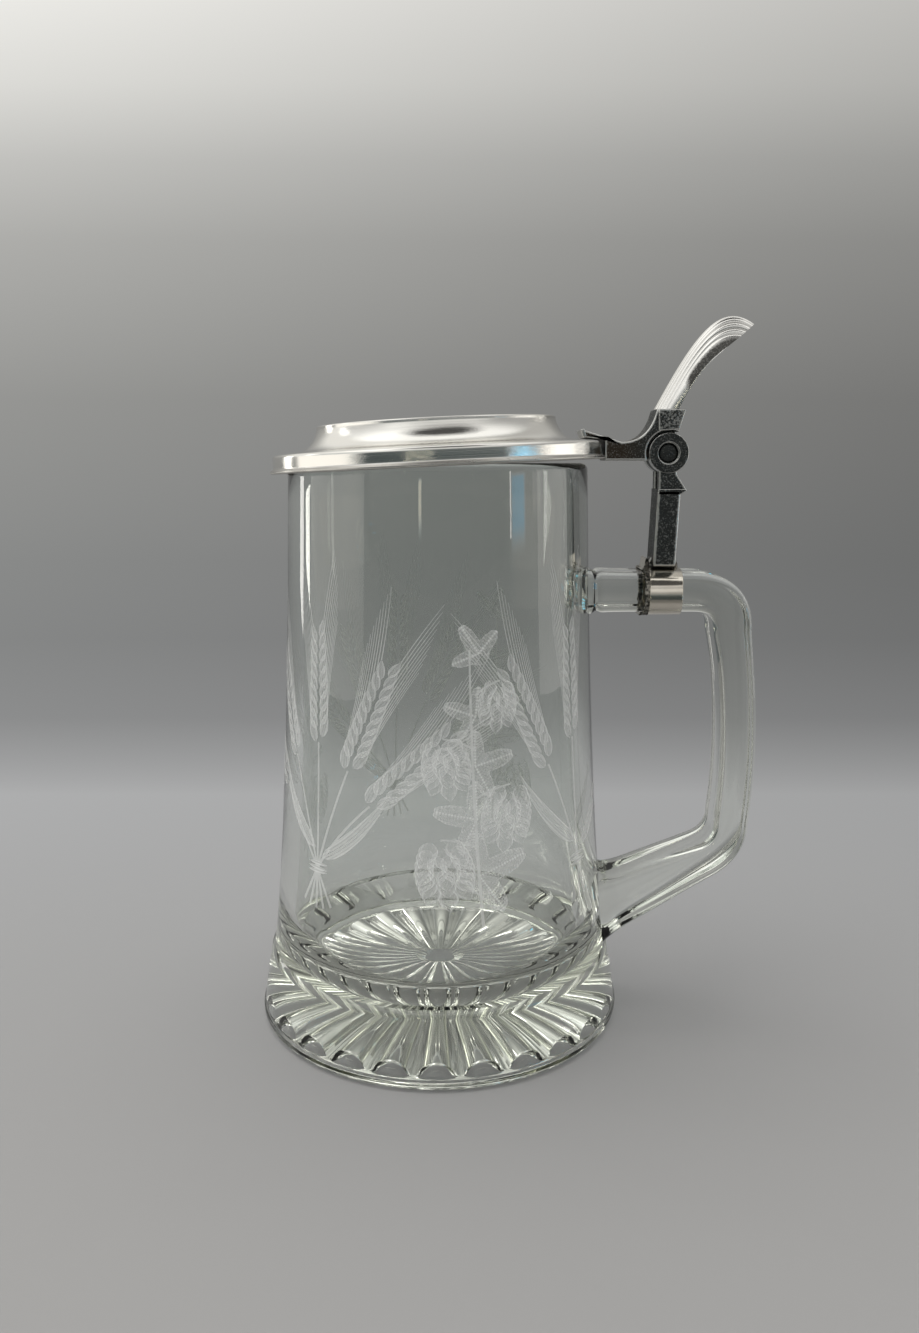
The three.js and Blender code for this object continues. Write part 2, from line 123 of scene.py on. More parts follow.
def sheetOf(points, wrapRows=False, wrapCols=False, **values):  # points: rows x cols x 3
    rows, cols = points.shape[:2]
    flat = {k: np.broadcast_to(v, (rows, cols)).reshape(-1) for k, v in values.items()}
    faces = gridFaces(rows, cols, wrapRows, wrapCols)
    return {"points": points.reshape(-1, 3), "faces": faces, "values": flat}


# a profile of radius and height turned about Z: (r cos a, r sin a, z)
def turned(profile, angle):
    r, z = profile[:, 0, None], profile[:, 1, None]
    return np.stack(np.broadcast_arrays(r * np.cos(angle), r * np.sin(angle), z), -1)


# a profile of radius and depth turned about the hinge axis: (r cos a, depth, r sin a)
def turnedOnHinge(profile, closed=False, **values):
    angle = np.linspace(0, 2 * np.pi, 96, endpoint=False)
    ring = turned(profile, -angle)
    points = np.stack([hingeX + ring[..., 0], ring[..., 2], hingeZ + ring[..., 1]], -1)
    return sheetOf(points, wrapRows=closed, wrapCols=True, **values)


# corners moved inward along their bisectors, so that every edge moves by the distance
def drawnIn(corners, distance):
    c = np.array(corners, float)
    normal = sideways(np.roll(c, -1, 0) - c)
    before = np.roll(normal, 1, 0)
    meet = np.maximum(1 + np.sum(normal * before, axis=1, keepdims=True), 0.4)
    return c - distance * (normal + before) / meet


# adds points near both ends of every long run of a closed profile, so that it shades flat
def supported(profile, near=0.1):
    following = np.roll(profile, -1, 0)
    run = np.linalg.norm(following - profile, axis=1)
    step = (following - profile) * (near / np.maximum(run, near))[:, None]
    long = run > 5 * near
    points = np.stack([profile, profile + step, following - step], 1).reshape(-1, 2)
    return points[np.stack([np.ones_like(long), long, long], 1).reshape(-1)]


# corners of X and Z, anticlockwise, carried across Y, by half a depth to both sides or from one
# Y to another; both rims are eased, and a value of 1 on the rims, for edge wear and, on the dark
# castings, a painted edge highlight, fades to 0 a border's width inside the faces
def plate(corners, reach, depth, ease=0.3, border=0.5, steps=4, salt=0.3):
    nearY, farY = depth if isinstance(depth, tuple) else (-depth, depth)
    turn = np.linspace(0, np.pi / 2, steps)
    rimIn, rimDepth = ease * (1 - np.sin(turn)), ease * (1 - np.cos(turn))
    sideIn = min(border, 0.45 * (farY - nearY - 2 * ease))
    inset = np.concatenate([[ease + border], rimIn, [0, 0], rimIn[::-1], [ease + border]])
    y = np.concatenate([
        [nearY], nearY + rimDepth, [nearY + ease + sideIn, farY - ease - sideIn],
        farY - rimDepth[::-1], [farY]])
    worn = np.concatenate([[0], np.ones(steps), [0, 0], np.ones(steps), [0]])
    left = lambda d: np.maximum(np.array(reach) - 0.6 * d, 0)  # the reach left on a smaller outline
    flat = np.stack([eased(drawnIn(corners, d), left(d), 4, True) for d in inset])
    points = np.stack(np.broadcast_arrays(flat[..., 0], y[:, None], flat[..., 1]), -1)
    surface = sheetOf(points, wrapCols=True, worn=worn[:, None], salt=salt)
    rows, cols = points.shape[:2]
    surface["faces"] += [list(range(cols)), list(range(cols * rows - 1, cols * (rows - 1) - 1, -1))]
    return surface


def makePiece(name, surfaces, material, smoothAngle=40):
    keys = sorted({k for s in surfaces for k in s["values"]})
    start = np.cumsum([0] + [len(s["points"]) for s in surfaces])
    points = np.concatenate([s["points"] for s in surfaces]) * mm
    faces = [[v + o for v in f] for s, o in zip(surfaces, start) for f in s["faces"]]
    mesh = bpy.data.meshes.new(name)
    mesh.from_pydata(points.tolist(), [], faces)
    for key in keys:
        value = np.concatenate([s["values"].get(key, np.zeros(len(s["points"]))) for s in surfaces])
        mesh.attributes.new(key, "FLOAT", "POINT").data.foreach_set("value", value.astype(np.float32))
    closeMesh(mesh)
    return showMesh(name, mesh, material, smoothAngle)


def closeMesh(mesh):  # merges poles and seams, then turns every face outward
    work = bmesh.new()
    work.from_mesh(mesh)
    bmesh.ops.remove_doubles(work, verts=work.verts, dist=1e-7)
    bmesh.ops.dissolve_degenerate(work, edges=work.edges, dist=1e-8)
    bmesh.ops.recalc_face_normals(work, faces=work.faces)
    work.to_mesh(mesh)
    work.free()


def showMesh(name, mesh, material, smoothAngle):
    mesh.polygons.foreach_set("use_smooth", np.ones(len(mesh.polygons), bool))
    mesh.set_sharp_from_angle(angle=np.radians(smoothAngle))
    mesh.materials.clear()
    mesh.materials.append(material)
    piece = bpy.data.objects.new(name, mesh)
    bpy.context.scene.collection.objects.link(piece)
    return piece


def settle(piece, body, slot, *nodes):
    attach(piece, body)
    if nodes:
        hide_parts(*nodes)
    print("made", piece.name, len(piece.data.polygons), "faces")


# materials: a Wire is a socket that joins in Python sums, and a Finish holds the nodes

class Wire:
    def __init__(self, finish, socket):
        self.finish, self.socket = finish, socket

    def sum(self, operation, *terms):
        return self.finish.node("Math", {"operation": operation}, dict(enumerate(terms)))

    def clamped(self):
        return self.finish.node("Clamp", {}, {"Value": self})

    def between(self, low, high):  # 0 below low, 1 above high, eased between them
        return self.finish.node("MapRange", {"interpolation_type": "SMOOTHSTEP"},
                                {"Value": self, "From Min": low, "From Max": high})


operations = {"add": "ADD", "sub": "SUBTRACT", "mul": "MULTIPLY", "truediv": "DIVIDE", "pow": "POWER"}
for name, operation in operations.items():  # with the Wire on the left of the sign, then on its right
    setattr(Wire, f"__{name}__", lambda wire, other, kind=operation: wire.sum(kind, wire, other))
    setattr(Wire, f"__r{name}__", lambda wire, other, kind=operation: wire.sum(kind, other, wire))


class Finish:
    def __init__(self, name, owners=bpy.data.materials):
        self.material = owners.new(name)
        self.material.use_nodes = True
        self.tree = self.material.node_tree
        self.tree.nodes.clear()

    def node(self, kind, settings, sockets, output=0):
        node = self.tree.nodes.new("ShaderNode" + kind)
        for key, value in settings.items():
            if key == "stops":
                while len(node.color_ramp.elements) < len(value):
                    node.color_ramp.elements.new(0.5)
                for stop, (place, colour) in zip(node.color_ramp.elements, value):
                    stop.position, stop.color = place, (*colour, 1)
            else:
                setattr(node, key, value)
        for key, value in sockets.items():
            if isinstance(value, Wire):
                self.tree.links.new(value.socket, node.inputs[key])
            elif value is not None:
                node.inputs[key].default_value = value
        return Wire(self, node.outputs[output]) if node.outputs else None

    def place(self):
        return self.node("TexCoord", {}, {}, "Object")

    def axes(self, vector=None):  # Object coordinates as three values, in metres
        split = self.node("SeparateXYZ", {}, {"Vector": vector or self.place()})
        return split, Wire(self, split.socket.node.outputs[1]), Wire(self, split.socket.node.outputs[2])

    def value(self, name):  # a value carried by the mesh's points
        return self.node("Attribute", {"attribute_name": name}, {}, "Fac")

    def noise(self, scale, detail=3, roughness=0.55, vector=None):
        return self.node("TexNoise", {}, {
            "Vector": vector or self.place(), "Scale": scale, "Detail": detail, "Roughness": roughness})

    def stretched(self, x, y, z):
        return self.node("Mapping", {}, {"Vector": self.place(), "Scale": (x, y, z)})

    def mix(self, factor, a, b):
        colour = lambda c: c if isinstance(c, Wire) else (*c, 1)
        return self.node("Mix", {"data_type": "RGBA"}, {0: factor, 6: colour(a), 7: colour(b)}, 2)

    def bump(self, height, strength, depth):
        return self.node("Bump", {}, {"Height": height, "Strength": strength, "Distance": depth})

    def surface(self, **sockets):
        values = {}
        for key, value in sockets.items():  # baseColor sets Base Color, and a colour gets its fourth number
            spaced = "".join(" " + c if c.isupper() else c for c in key[1:])
            name = key if key == "IOR" else key[0].upper() + spaced
            values[name] = (*value, 1) if isinstance(value, tuple) and len(value) == 3 else value
        return self.node("BsdfPrincipled", {}, values)

    def metal(self, colour, rough, normal, metallic=1.0):
        return self.done(self.surface(baseColor=colour, metallic=metallic, roughness=rough, normal=normal))

    def done(self, shader, volume=None):
        self.node("OutputMaterial", {}, {"Surface": shader, "Volume": volume})
        return self.material


def clearGlass():
    f = Finish("clearGlass")
    ripple = f.noise(22, 2, 0.4)  # slow waviness of pressed glass
    x, z = f.axes()[::2]
    wall = z.between(0.02, 0.06) * (1 - x.between(0.04, 0.044))  # a faint film on the wall of the mug
    colour = f.mix(wall, (0.985, 0.995, 0.99), (0.9, 0.92, 0.905))
    shader = f.surface(baseColor=colour, transmissionWeight=1.0, IOR=1.5, roughness=0.0,
                       normal=f.bump(ripple, 0.12, 0.0004))
    depth = f.node("VolumeAbsorption", {}, {"Color": (0.87, 0.91, 0.74, 1), "Density": 13})
    return f.done(shader, depth)


def satinPewter():
    f = Finish("satinPewter")
    reach = f.value("reach")
    rings = f.node("TexNoise", {"noise_dimensions": "1D"}, {
        "W": reach, "Scale": 7, "Detail": 4, "Roughness": 0.7})
    cloud = f.noise(60, 4)
    scuff = f.noise(900, 2)
    # the lid's lower lip is painted darker and mottled: a painted shade, which also roughens it
    grime = (f.value("grime") * (0.25 + 0.6 * cloud)).clamped()
    colour = f.mix(cloud, (0.70, 0.69, 0.655), (0.84, 0.825, 0.785))
    colour = f.mix(grime, colour, (0.2, 0.19, 0.17))
    matt = f.value("matt")  # the unpolished inside
    rough = 0.07 + 0.06 * cloud + 0.04 * scuff + 0.25 * grime + 0.45 * matt
    return f.metal(colour, rough, f.bump(rings, 0.10, 0.0002), 1 - 0.75 * matt)


def darkCasting():
    f = Finish("darkCasting")
    grain = f.noise(2300, 3, 0.7)
    blotch = f.noise(520, 3)
    salt = f.value("salt")
    x = f.axes()[0]
    # rims are painted brighter: partly rubbed wear, partly a painted highlight along the edges
    rubbedAndSheen = (f.value("worn") * (0.35 + 1.1 * blotch) + (grain - 0.5) * 0.6).between(0.35, 0.85)
    speck = (grain + (blotch - 0.5) * 0.25 + 0.1 * salt).between(0.54, 0.70) * (0.22 + 0.5 * salt)
    bright = (rubbedAndSheen + speck).clamped()
    pit = f.mix((0.0565 - x).between(0, 0.01), (0.05, 0.054, 0.053), (0.062, 0.05, 0.038))
    colour = f.mix(bright, pit, (0.62, 0.62, 0.6))
    rough = 0.5 - 0.18 * bright + 0.12 * (grain - 0.5)
    return f.metal(colour, rough, f.bump(grain * 0.6 + blotch * 0.4, 0.4, 0.00025))


def brightNickel():
    f = Finish("brightNickel")
    streak = f.noise(1, 4, 0.6, f.stretched(1500, 120, 120))
    cloud = f.noise(240, 3)
    dull = f.value("worn")
    colour = f.mix(cloud, (0.56, 0.52, 0.45), (0.72, 0.68, 0.6))
    speck = f.noise(1100, 2)
    colour = f.mix((dull * (3.4 * speck - 0.7)).clamped(), colour, (0.06, 0.058, 0.052))
    rough = 0.1 + 0.08 * streak + 0.25 * dull
    z = f.axes()[2]
    rolled = (z - 0.1144) ** 2 / -0.03  # a barrel of 15 mm radius, in metres
    return f.metal(colour, rough, f.bump(rolled + 0.00002 * (streak + cloud), 1, 1))


def polishedLift():
    f = Finish("polishedLift")
    grain = f.noise(1900, 4, 0.7)
    blotch = f.noise(500, 3)
    # the grooves are darkened: tarnish in them, with a painted shade between the reeds
    tarnishAndShade = (f.value("groove") * (0.8 + 0.4 * grain)).clamped()
    # the lower flanks and the inside of the shell are painted near black: painted shade over a grainy pitted
    # finish
    pittedAndShaded = (f.value("under") * 1.25 + (grain - 0.5) * 1.1 - 0.25).clamped()
    colour = f.mix(blotch, (0.84, 0.83, 0.8), (0.93, 0.92, 0.89))
    colour = f.mix(tarnishAndShade * 0.8, colour, (0.32, 0.31, 0.29))
    colour = f.mix(pittedAndShaded, colour, (0.11, 0.107, 0.10))
    rough = 0.2 + 0.08 * blotch + 0.3 * pittedAndShaded
    return f.metal(colour, rough, f.bump(grain * (0.3 + 0.7 * pittedAndShaded), 0.12, 0.0002))


# glass mug: body and handle in one piece of glass

glassMug = {
    "height": 151, "footRadius": 50, "edgeHeight": 2.9, "edgeStep": 0.5, "footSwell": 0.8,
    "standingRadius": 48.6, "standingWidth": 1.9, "button": 4.6, "buttonHeight": 6, "recessSlope": 0.9,
    "hollowStart": 7, "hollowHeight": 8.5, "hollowEdge": 0.8,
    "seamRadius": 46.4, "seamHeight": 20, "seamStep": 0.7, "curveRadius": 41.6, "curveHeight": 62,
    "rimRadius": 39.2, "rimWall": 3.6, "floorWall": 6, "floorHeight": 13, "floorFillet": 18, "floorDip": 0.4,
    "fluteCount": 24, "fluteStart": 5.2, "fluteReach": 45.2, "fluteBlunt": 1.7, "fluteDepth": 3.4,
    "fluteLand": 1.6, "ridgeSoftness": 0.5, "columnsPerFlute": 18,
}


# height of the flutes over the hollow underside: a cone from the middle with a blunt ball at
# its end, both sunk below it and cut off there by a soft maximum
def fluteHeight(r, angle):
    g = sizes(glassMug)
    sector = 2 * np.pi / g.fluteCount
    off = (angle + sector / 2) % sector - sector / 2
    along, aside = r * np.cos(off), r * np.sin(off)
    spread = np.tan(sector / 2)
    ballPlace = (g.fluteReach + g.fluteLand / 2 / g.fluteBlunt) / (1 + spread / g.fluteBlunt)
    halfWidth = ballPlace * spread - g.fluteLand / 2
    ball = (halfWidth ** 2 + g.fluteDepth ** 2) / (2 * g.fluteDepth)
    grown = np.minimum(along / ballPlace, 1)
    past = np.maximum(along - ballPlace, 0) * g.fluteBlunt
    inside = (ball * grown) ** 2 - aside ** 2 - past ** 2
    roof = np.sqrt(np.maximum(inside, 0)) - (ball - g.fluteDepth) * grown
    soft = 0.5 * (roof + np.sqrt(roof ** 2 + g.ridgeSoftness ** 2))
    soft -= 0.5 * (np.sqrt(g.ridgeSoftness ** 2 + 4) - 2)
    return np.maximum(soft, 0) * smoothStep(r, g.fluteStart - 0.8, g.fluteStart + 1.2)


def wallCurve(count):  # the outside of the wall from the seam to the rim, as radius and height
    g = sizes(glassMug)
    return bent((g.seamRadius, g.seamHeight), (g.curveRadius, g.curveHeight),
                (g.rimRadius, g.height - g.rimWall / 2), count)


def bodySurface():
    g = sizes(glassMug)
    stand = g.standingRadius - g.standingWidth
    under = np.concatenate([np.linspace(0, 41, 48), np.linspace(41.3, stand - g.recessSlope, 26)])
    hollow = np.interp(under, [g.button, g.hollowStart, under[-1]],
                       [g.buttonHeight, g.hollowHeight, g.hollowEdge])
    base = np.stack([under, hollow], -1)
    edgeTop = g.edgeHeight + g.edgeStep
    foot = eased([base[-1], (stand, 0), (g.standingRadius, 0), (g.footRadius, g.edgeHeight / 2),
                  (g.footRadius, g.edgeHeight), (g.footRadius - g.edgeStep, edgeTop + 0.15)],
                 [0, 0.4, 0.7, 0.7, 0.45, 0], 6)[1:]
    swollen = (g.footRadius + g.seamRadius) / 2 + g.footSwell
    side = bent(foot[-1], (swollen, g.seamHeight / 2),
                (g.seamRadius + g.seamStep, g.seamHeight - g.seamStep), 14)[1:]
    wall = wallCurve(26)
    rim = arc((g.rimRadius - g.rimWall / 2, wall[-1, 1]), g.rimWall / 2, 0, 180, 12)[1:]
    foldX, foldZ = g.seamRadius - g.floorWall, g.floorHeight + g.floorFillet
    pull = g.curveRadius - (g.rimWall + g.floorWall) / 2
    inside = bent(rim[-1], (pull, g.curveHeight), (foldX, foldZ), 22)[1:]
    corner = arc((foldX - g.floorFillet, foldZ), g.floorFillet, 0, -90, 10)[1:]
    floor = straight(corner[-1], (0, g.floorHeight - g.floorDip), 10)[1:]
    profile = np.concatenate([base, foot, side, wall, rim, inside, corner, floor])
    step = np.linspace(-1, 1, g.columnsPerFlute, endpoint=False)
    sector = 2 * np.pi / g.fluteCount
    flutes = np.arange(g.fluteCount)[:, None] * sector
    angle = (flutes + sector / 2 * np.sin(step * np.pi / 2)).reshape(-1)
    points = turned(profile, angle)
    points[:len(base), :, 2] += fluteHeight(under[:, None], angle[None])
    return sheetOf(points, wrapCols=True)


glassHandle = {
    "armHeight": 117.6, "armThickness": 10.7, "gripCentre": 79.4, "gripLean": 1, "gripBow": 1.75,
    "gripThickness": 9.2, "upperBend": 11, "lowerBend": 8, "lowerCorner": 46.5, "slope": 26.6,
    "rootThickness": 14.5, "rootFlare": 1.6, "armFlare": 0.5, "flareLength": 3, "width": 16.6,
    "squareness": 6, "lineDepth": 0.022, "linePlace": 0.5, "lineWidth": 0.1,
    "pinch": 0.6, "pinchPlace": 1.5, "pinchLength": 0.8, "armEnd": 38, "rootEnd": 42.6,
    "uprightLength": 14, "armWall": 40.3, "rootWall": 45.3, "middle": 80, "columns": 120,
}


# the path runs level, bends down to the bowed grip and turns back along a slope; a rounded
# rectangle is carried along it, its thickness eased from arm to grip to root
def handleSurface():
    h = sizes(glassHandle)
    slope = np.radians(h.slope)
    inward = np.array([-np.cos(slope), -np.sin(slope)])
    topX, footX = h.gripCentre - h.gripLean, h.gripCentre + h.gripLean
    top = np.array([topX, h.armHeight - h.upperBend])
    foot = np.array([footX, h.lowerCorner + h.lowerBend])
    corner = np.array([footX, h.lowerCorner])
    bowed = np.array([h.gripCentre + 2 * h.gripBow, (top[1] + foot[1]) / 2])
    armBend = (topX - h.upperBend, h.armHeight)
    turn = corner + inward * h.lowerBend
    end = corner + inward * (footX - h.rootEnd) / np.cos(slope)
    path = np.concatenate([
        straight((h.armEnd, h.armHeight), armBend, 60), bent(armBend, (topX, h.armHeight), top, 18)[1:],
        bent(top, bowed, foot, 22)[1:], bent(foot, corner, turn, 16)[1:], straight(turn, end, 26)[1:]])
    x, z = path[:, 0], path[:, 1]
    across = -sideways(np.gradient(path, axis=0))
    upright = smoothStep(x, h.rootEnd, h.rootEnd + h.uprightLength)[:, None]
    ending = upright * across + (1 - upright) * np.array([0, -1 / np.cos(slope)])
    across = np.where((z < h.lowerCorner)[:, None], ending, across)  # the root ends in an upright face
    toArm = smoothStep(z, h.armHeight - 2 * h.upperBend, h.armHeight)
    toRoot = 1 - smoothStep(x, glassMug["seamRadius"], h.gripCentre + h.gripBow)
    arm = h.gripThickness + (h.armThickness - h.gripThickness) * toArm
    root = h.gripThickness + (h.rootThickness - h.gripThickness) * toRoot
    thick = np.where(z > foot[1], arm, root) / 2
    high = z > h.middle
    wall = np.where(high, h.armWall, h.rootWall)
    flare = np.where(high, h.armFlare, h.rootFlare) * np.exp(-np.maximum(x - wall, 0) / h.flareLength)
    pinch = h.pinch * np.exp(-((x - wall - h.pinchPlace) / h.pinchLength) ** 2)
    flare = flare - np.where(high, pinch, 0)  # a groove round the upper joint
    ring = roundedRing(1, 1, h.squareness, h.columns)
    fromLine = (np.abs(ring[:, 1]) - h.linePlace) / h.lineWidth  # two drawn lines along each cheek
    ring[:, 0] *= 1 - h.lineDepth * np.exp(-fromLine ** 2)
    inPlane = ring[None, :, 1, None] * (thick + flare)[:, None, None] * across[:, None]
    width = ring[None, :, 0] * (h.width / 2 + flare)[:, None]
    points = np.stack([x[:, None] + inPlane[..., 0], width, z[:, None] + inPlane[..., 1]], -1)
    surface = sheetOf(points, wrapCols=True)
    rows, cols = points.shape[:2]
    surface["faces"] += [list(range(cols))[::-1], list(range(cols * (rows - 1), cols * rows))]
    return surface


def fuseGlass(material):
    body = makePiece("glassBodyDraft", [bodySurface()], material)
    handle = makePiece("glassHandleDraft", [handleSurface()], material)
    join = body.modifiers.new("join", "BOOLEAN")
    join.operation, join.solver, join.object = "UNION", "MANIFOLD", handle
    bpy.context.view_layer.update()
    mesh = bpy.data.meshes.new_from_object(body.evaluated_get(bpy.context.evaluated_depsgraph_get()))
    for draft in (body, handle):
        bpy.data.objects.remove(draft)
    mesh.name = "glassMug"
    return showMesh("glassMug", mesh, material, 35)


# lid, turned in its own frame and then laid on the rim with its tilt

lid = {
    "tilt": 2.7, "place": 150.14863, "radius": 42.9, "lip": 0.75, "lipHeight": 0.7, "sideHeight": 4.2,
    "ledgeRadius": 36.8, "ledgeHeight": 5.2, "crownRadius": 31.2, "crownHeight": 11.5, "crownRound": 0.8,
    "waistStart": 14, "dishRadius": 27, "dishDepth": 2, "dome": 0.7, "wall": 1.3, "ceiling": 3,
    "insideRows": 22, "columns": 256,
}


def lidSurface():
    p = sizes(lid)
    crown, ledge = p.crownRadius, p.ledgeRadius
    crownSide, dish = p.crownHeight - p.crownRound, p.crownHeight - p.dishDepth
    t = np.linspace(0, 1, 26)[:, None]
    middle = np.concatenate([t * p.dishRadius, dish + p.dome * (1 - t ** 2)], 1)
    rise = bent((p.dishRadius, dish), (crown - 2.6, dish), (crown - 2.2, p.crownHeight - 0.7), 8)[1:]
    bead = eased([rise[-1], (crown - 2, p.crownHeight), (crown, p.crownHeight), (crown, crownSide)],
                 p.crownRound, 7)[1:]
    a = np.linspace(np.radians(p.waistStart), np.pi / 2, 30)
    waistX = ledge - (ledge - crown) * np.cos(a) / np.cos(a[0])
    waistZ = crownSide - (crownSide - p.ledgeHeight) * (np.sin(a) - np.sin(a[0])) / (1 - np.sin(a[0]))
    waist = np.stack([waistX, waistZ], -1)[1:]
    inside = p.radius - p.wall
    side = eased([waist[-1], (p.radius, p.sideHeight + 0.35), (p.radius + 0.08, p.lipHeight + 0.35),
                  (p.radius + p.lip, p.lipHeight + 0.1), (p.radius + p.lip, 0), (inside, 0),
                  (inside, p.ceiling), (ledge - p.wall, p.ceiling)],
                 [0, 0.9, 0.5, 0.35, 0.35, 0.3, 0.5, 0], 7)[1:]
    a = np.linspace(0, np.pi / 2, 26)
    under = dish - p.wall
    hollow = np.stack([ledge - p.wall - (ledge - crown) * np.sin(a),
                       under - (under - p.ceiling) * np.cos(a)], -1)[1:]
    ceiling = eased([hollow[-1], (crown - p.wall - 1, under + 0.8), (p.dishRadius, under),
                     (0, under + p.dome)], 0.6, 6)[1:]
    profile = np.concatenate([middle, rise, bead, waist, side, hollow, ceiling])
    reach = runLength(profile)
    points = turned(profile, np.linspace(0, 2 * np.pi, p.columns, endpoint=False))
    tilt = np.radians(p.tilt)
    x, y, z = points[..., 0], points[..., 1], points[..., 2]
    laid = np.stack([x * np.cos(tilt) - z * np.sin(tilt), y,
                     x * np.sin(tilt) + z * np.cos(tilt) + p.place], -1)
    row = np.arange(len(profile))
    start = len(middle) + len(rise) + len(bead) + len(waist)
    end = start + len(side)
    low = (row > start) & (row < end)
    # the lower lip is marked for a painted shade along the lid's lower edge
    grime = low * (1 - smoothStep(profile[:, 1], p.lipHeight + 0.3, p.lipHeight + 0.7))
    grime = grime * smoothStep(profile[:, 0], p.radius - 0.2, p.radius)
    hidden = 1.0 * (row >= end - p.insideRows)
    return sheetOf(laid, wrapCols=True, reach=reach[:, None], grime=grime[:, None], matt=hidden[:, None])


# strap: a rounded strip carried round the arm, pushed out along the arm's own normals; fin,
# curl and nub are corners counted from the strip's left edge on top of the arm

strap = {
    "squareness": 4, "bulge": 0.45, "length": 8.6, "thickness": 0.7, "gap": 0.3, "place": 59.6,
    "collar": 1.1, "edge": 0.22, "columns": 160,
    "fin": [(-1.3, 0.2), (0.3, 0.2), (0.5, 2.4), (-0.1, 3.6), (-0.5, 3.2), (-0.7, 1.6)],
    "curl": [(-1.8, -12), (0.2, -11.6), (0.2, -10.7), (-1.3, -10.9)],
    "nub": [(7.2, 0.6), (8.4, 0.6), (8.3, 1.9), (7.5, 3.1)],
}


def strapSurfaces():
    s, h = sizes(strap), sizes(glassHandle)
    ring = roundedRing(h.width / 2, h.armThickness / 2, s.squareness, s.columns)
    normal = outward(ring)
    swell = s.bulge * np.cos(np.pi * ring[:, 1] / h.armThickness)[None]  # the cheeks bulge
    half, low, high = s.length / 2, s.gap, s.gap + s.thickness
    strip = eased([(-half, low), (half, low), (half, high), (-half, high)], s.edge, 5, closed=True)

    def around(section, lumps=0):
        lift = section[:, 1, None] + lumps
        y = ring[None, :, 0] + normal[None, :, 0] * lift
        z = h.armHeight + ring[None, :, 1] + normal[None, :, 1] * lift
        return np.stack(np.broadcast_arrays(s.place + section[:, 0, None], y, z), -1)

    a = np.linspace(0, 2 * np.pi, s.columns, endpoint=False)[None]
    left, right, top = -half - s.collar, -half + 0.3, high - 0.1
    lip = eased([(left, low), (right, low), (right, top), (left, top)], 0.3, 7, closed=True)
    c = lip[:, 0, None]
    lumps = 0.13 * np.sin(13 * a + 2.1 * c) + 0.12 * np.sin(29 * a - 3.3 * c + 1)
    lumps = lumps + 0.08 * np.sin(61 * a + 5 * c)
    crimp = around(lip, lumps * (lip[:, 1, None] > low + 0.1))
    crimp[..., 0] += 0.16 * np.sin(23 * a + 2) * (c < -half)
    corner = np.array([s.place - half, h.armHeight + h.armThickness / 2])
    fin, curl, nub = (np.array(shape) + corner for shape in (s.fin, s.curl, s.nub))
    return [sheetOf(around(strip, swell), wrapRows=True, wrapCols=True, worn=0.0),
            sheetOf(crimp, wrapRows=True, wrapCols=True, worn=0.8),
            plate(fin, 0.3, (-4.2, 3.8), 0.3, 0.3), plate(curl, 0.3, 3.5, 0.25, 0.2),
            plate(nub, 0.3, 2.6, 0.3, 0.2)]


# post: column, neck plates with the opening stop, and the two ears

post = {
    "width": 5.9, "halfDepth": 5.1, "lean": 0.7, "offset": 0.5, "neckHalfDepth": 4.7, "neckWidth": 4.6,
    "neckDrop": 5.4, "ledgeDrop": 9.2, "stopReach": 4.9, "stopLip": 1.5, "stopEdge": 0.5, "slot": 4,
    "foot": 124.25, "gussetWidth": 1.3, "gussetHeight": 2.2, "gussetDepth": 3.4,
}
ears = {"radius": 5.2, "face": 5.2, "bore": 2.5, "counterbore": 2.8, "sink": 0.9, "pin": 2.4}


def postSurfaces():
    p, e = sizes(post), sizes(ears)
    half, topX = p.width / 2, hingeX + p.offset
    footX, ledge, tip = topX - p.lean, hingeZ - p.ledgeDrop, hingeX + p.stopReach
    left, right, gussetTop = footX - half, footX + half, p.foot + p.gussetHeight
    column = [(left, p.foot), (right, p.foot), (topX + half, ledge - 0.3), (topX - half, ledge - 0.3)]
    slab = [(topX - half, ledge - p.stopLip), (topX + half - 0.2, ledge - p.stopLip),
            (tip, ledge - p.stopEdge), (tip, ledge), (topX - half, ledge)]
    neckHalf, neckTop = p.neckWidth / 2, hingeZ - p.neckDrop
    neck = [(topX - half + 0.2, ledge - 0.8), (tip - 0.1, ledge - 0.8), (tip - 0.1, ledge + 0.1),
            (hingeX + neckHalf, neckTop), (hingeX + neckHalf, hingeZ - 3),
            (hingeX - neckHalf, hingeZ - 3), (hingeX - neckHalf, neckTop)]
    gusset = [(left - p.gussetWidth, p.foot), (right + p.gussetWidth, p.foot),
              (right, gussetTop), (left, gussetTop)]
    inner, floor = p.slot / 2, e.face - e.sink
    disc = eased([(e.bore, inner), (e.radius, inner), (e.radius, e.face), (e.counterbore, e.face),
                  (e.counterbore, floor), (e.bore, floor)], [0, 0.25, 0.4, 0.15, 0.1, 0], 5, closed=True)
    disc = supported(disc)
    # the ear's outer edge is painted bright, for wear and a painted highlight; the ring round the
    # counterbore is a painted highlight
    worn = smoothStep(disc[:, 0], e.radius - 0.35, e.radius - 0.05)
    worn = (worn + 0.9 * (np.abs(disc[:, 0] - e.counterbore) < 0.17))[:, None]
    mirrored = disc * [1, -1]
    return [plate(column, 0.5, p.halfDepth, 0.4, 0.5), plate(slab, 0.15, p.halfDepth, 0.15, 0.15),
            plate(neck, 0.25, (-p.neckHalfDepth, -inner), 0.25, 0.45),
            plate(neck, 0.25, (inner, p.neckHalfDepth), 0.25, 0.45),
            plate(gusset, 0.3, p.gussetDepth / 2, 0.3, 0.4),
            turnedOnHinge(disc, True, worn=worn, salt=0.3),
            turnedOnHinge(mirrored[::-1], True, worn=worn[::-1], salt=0.3)]


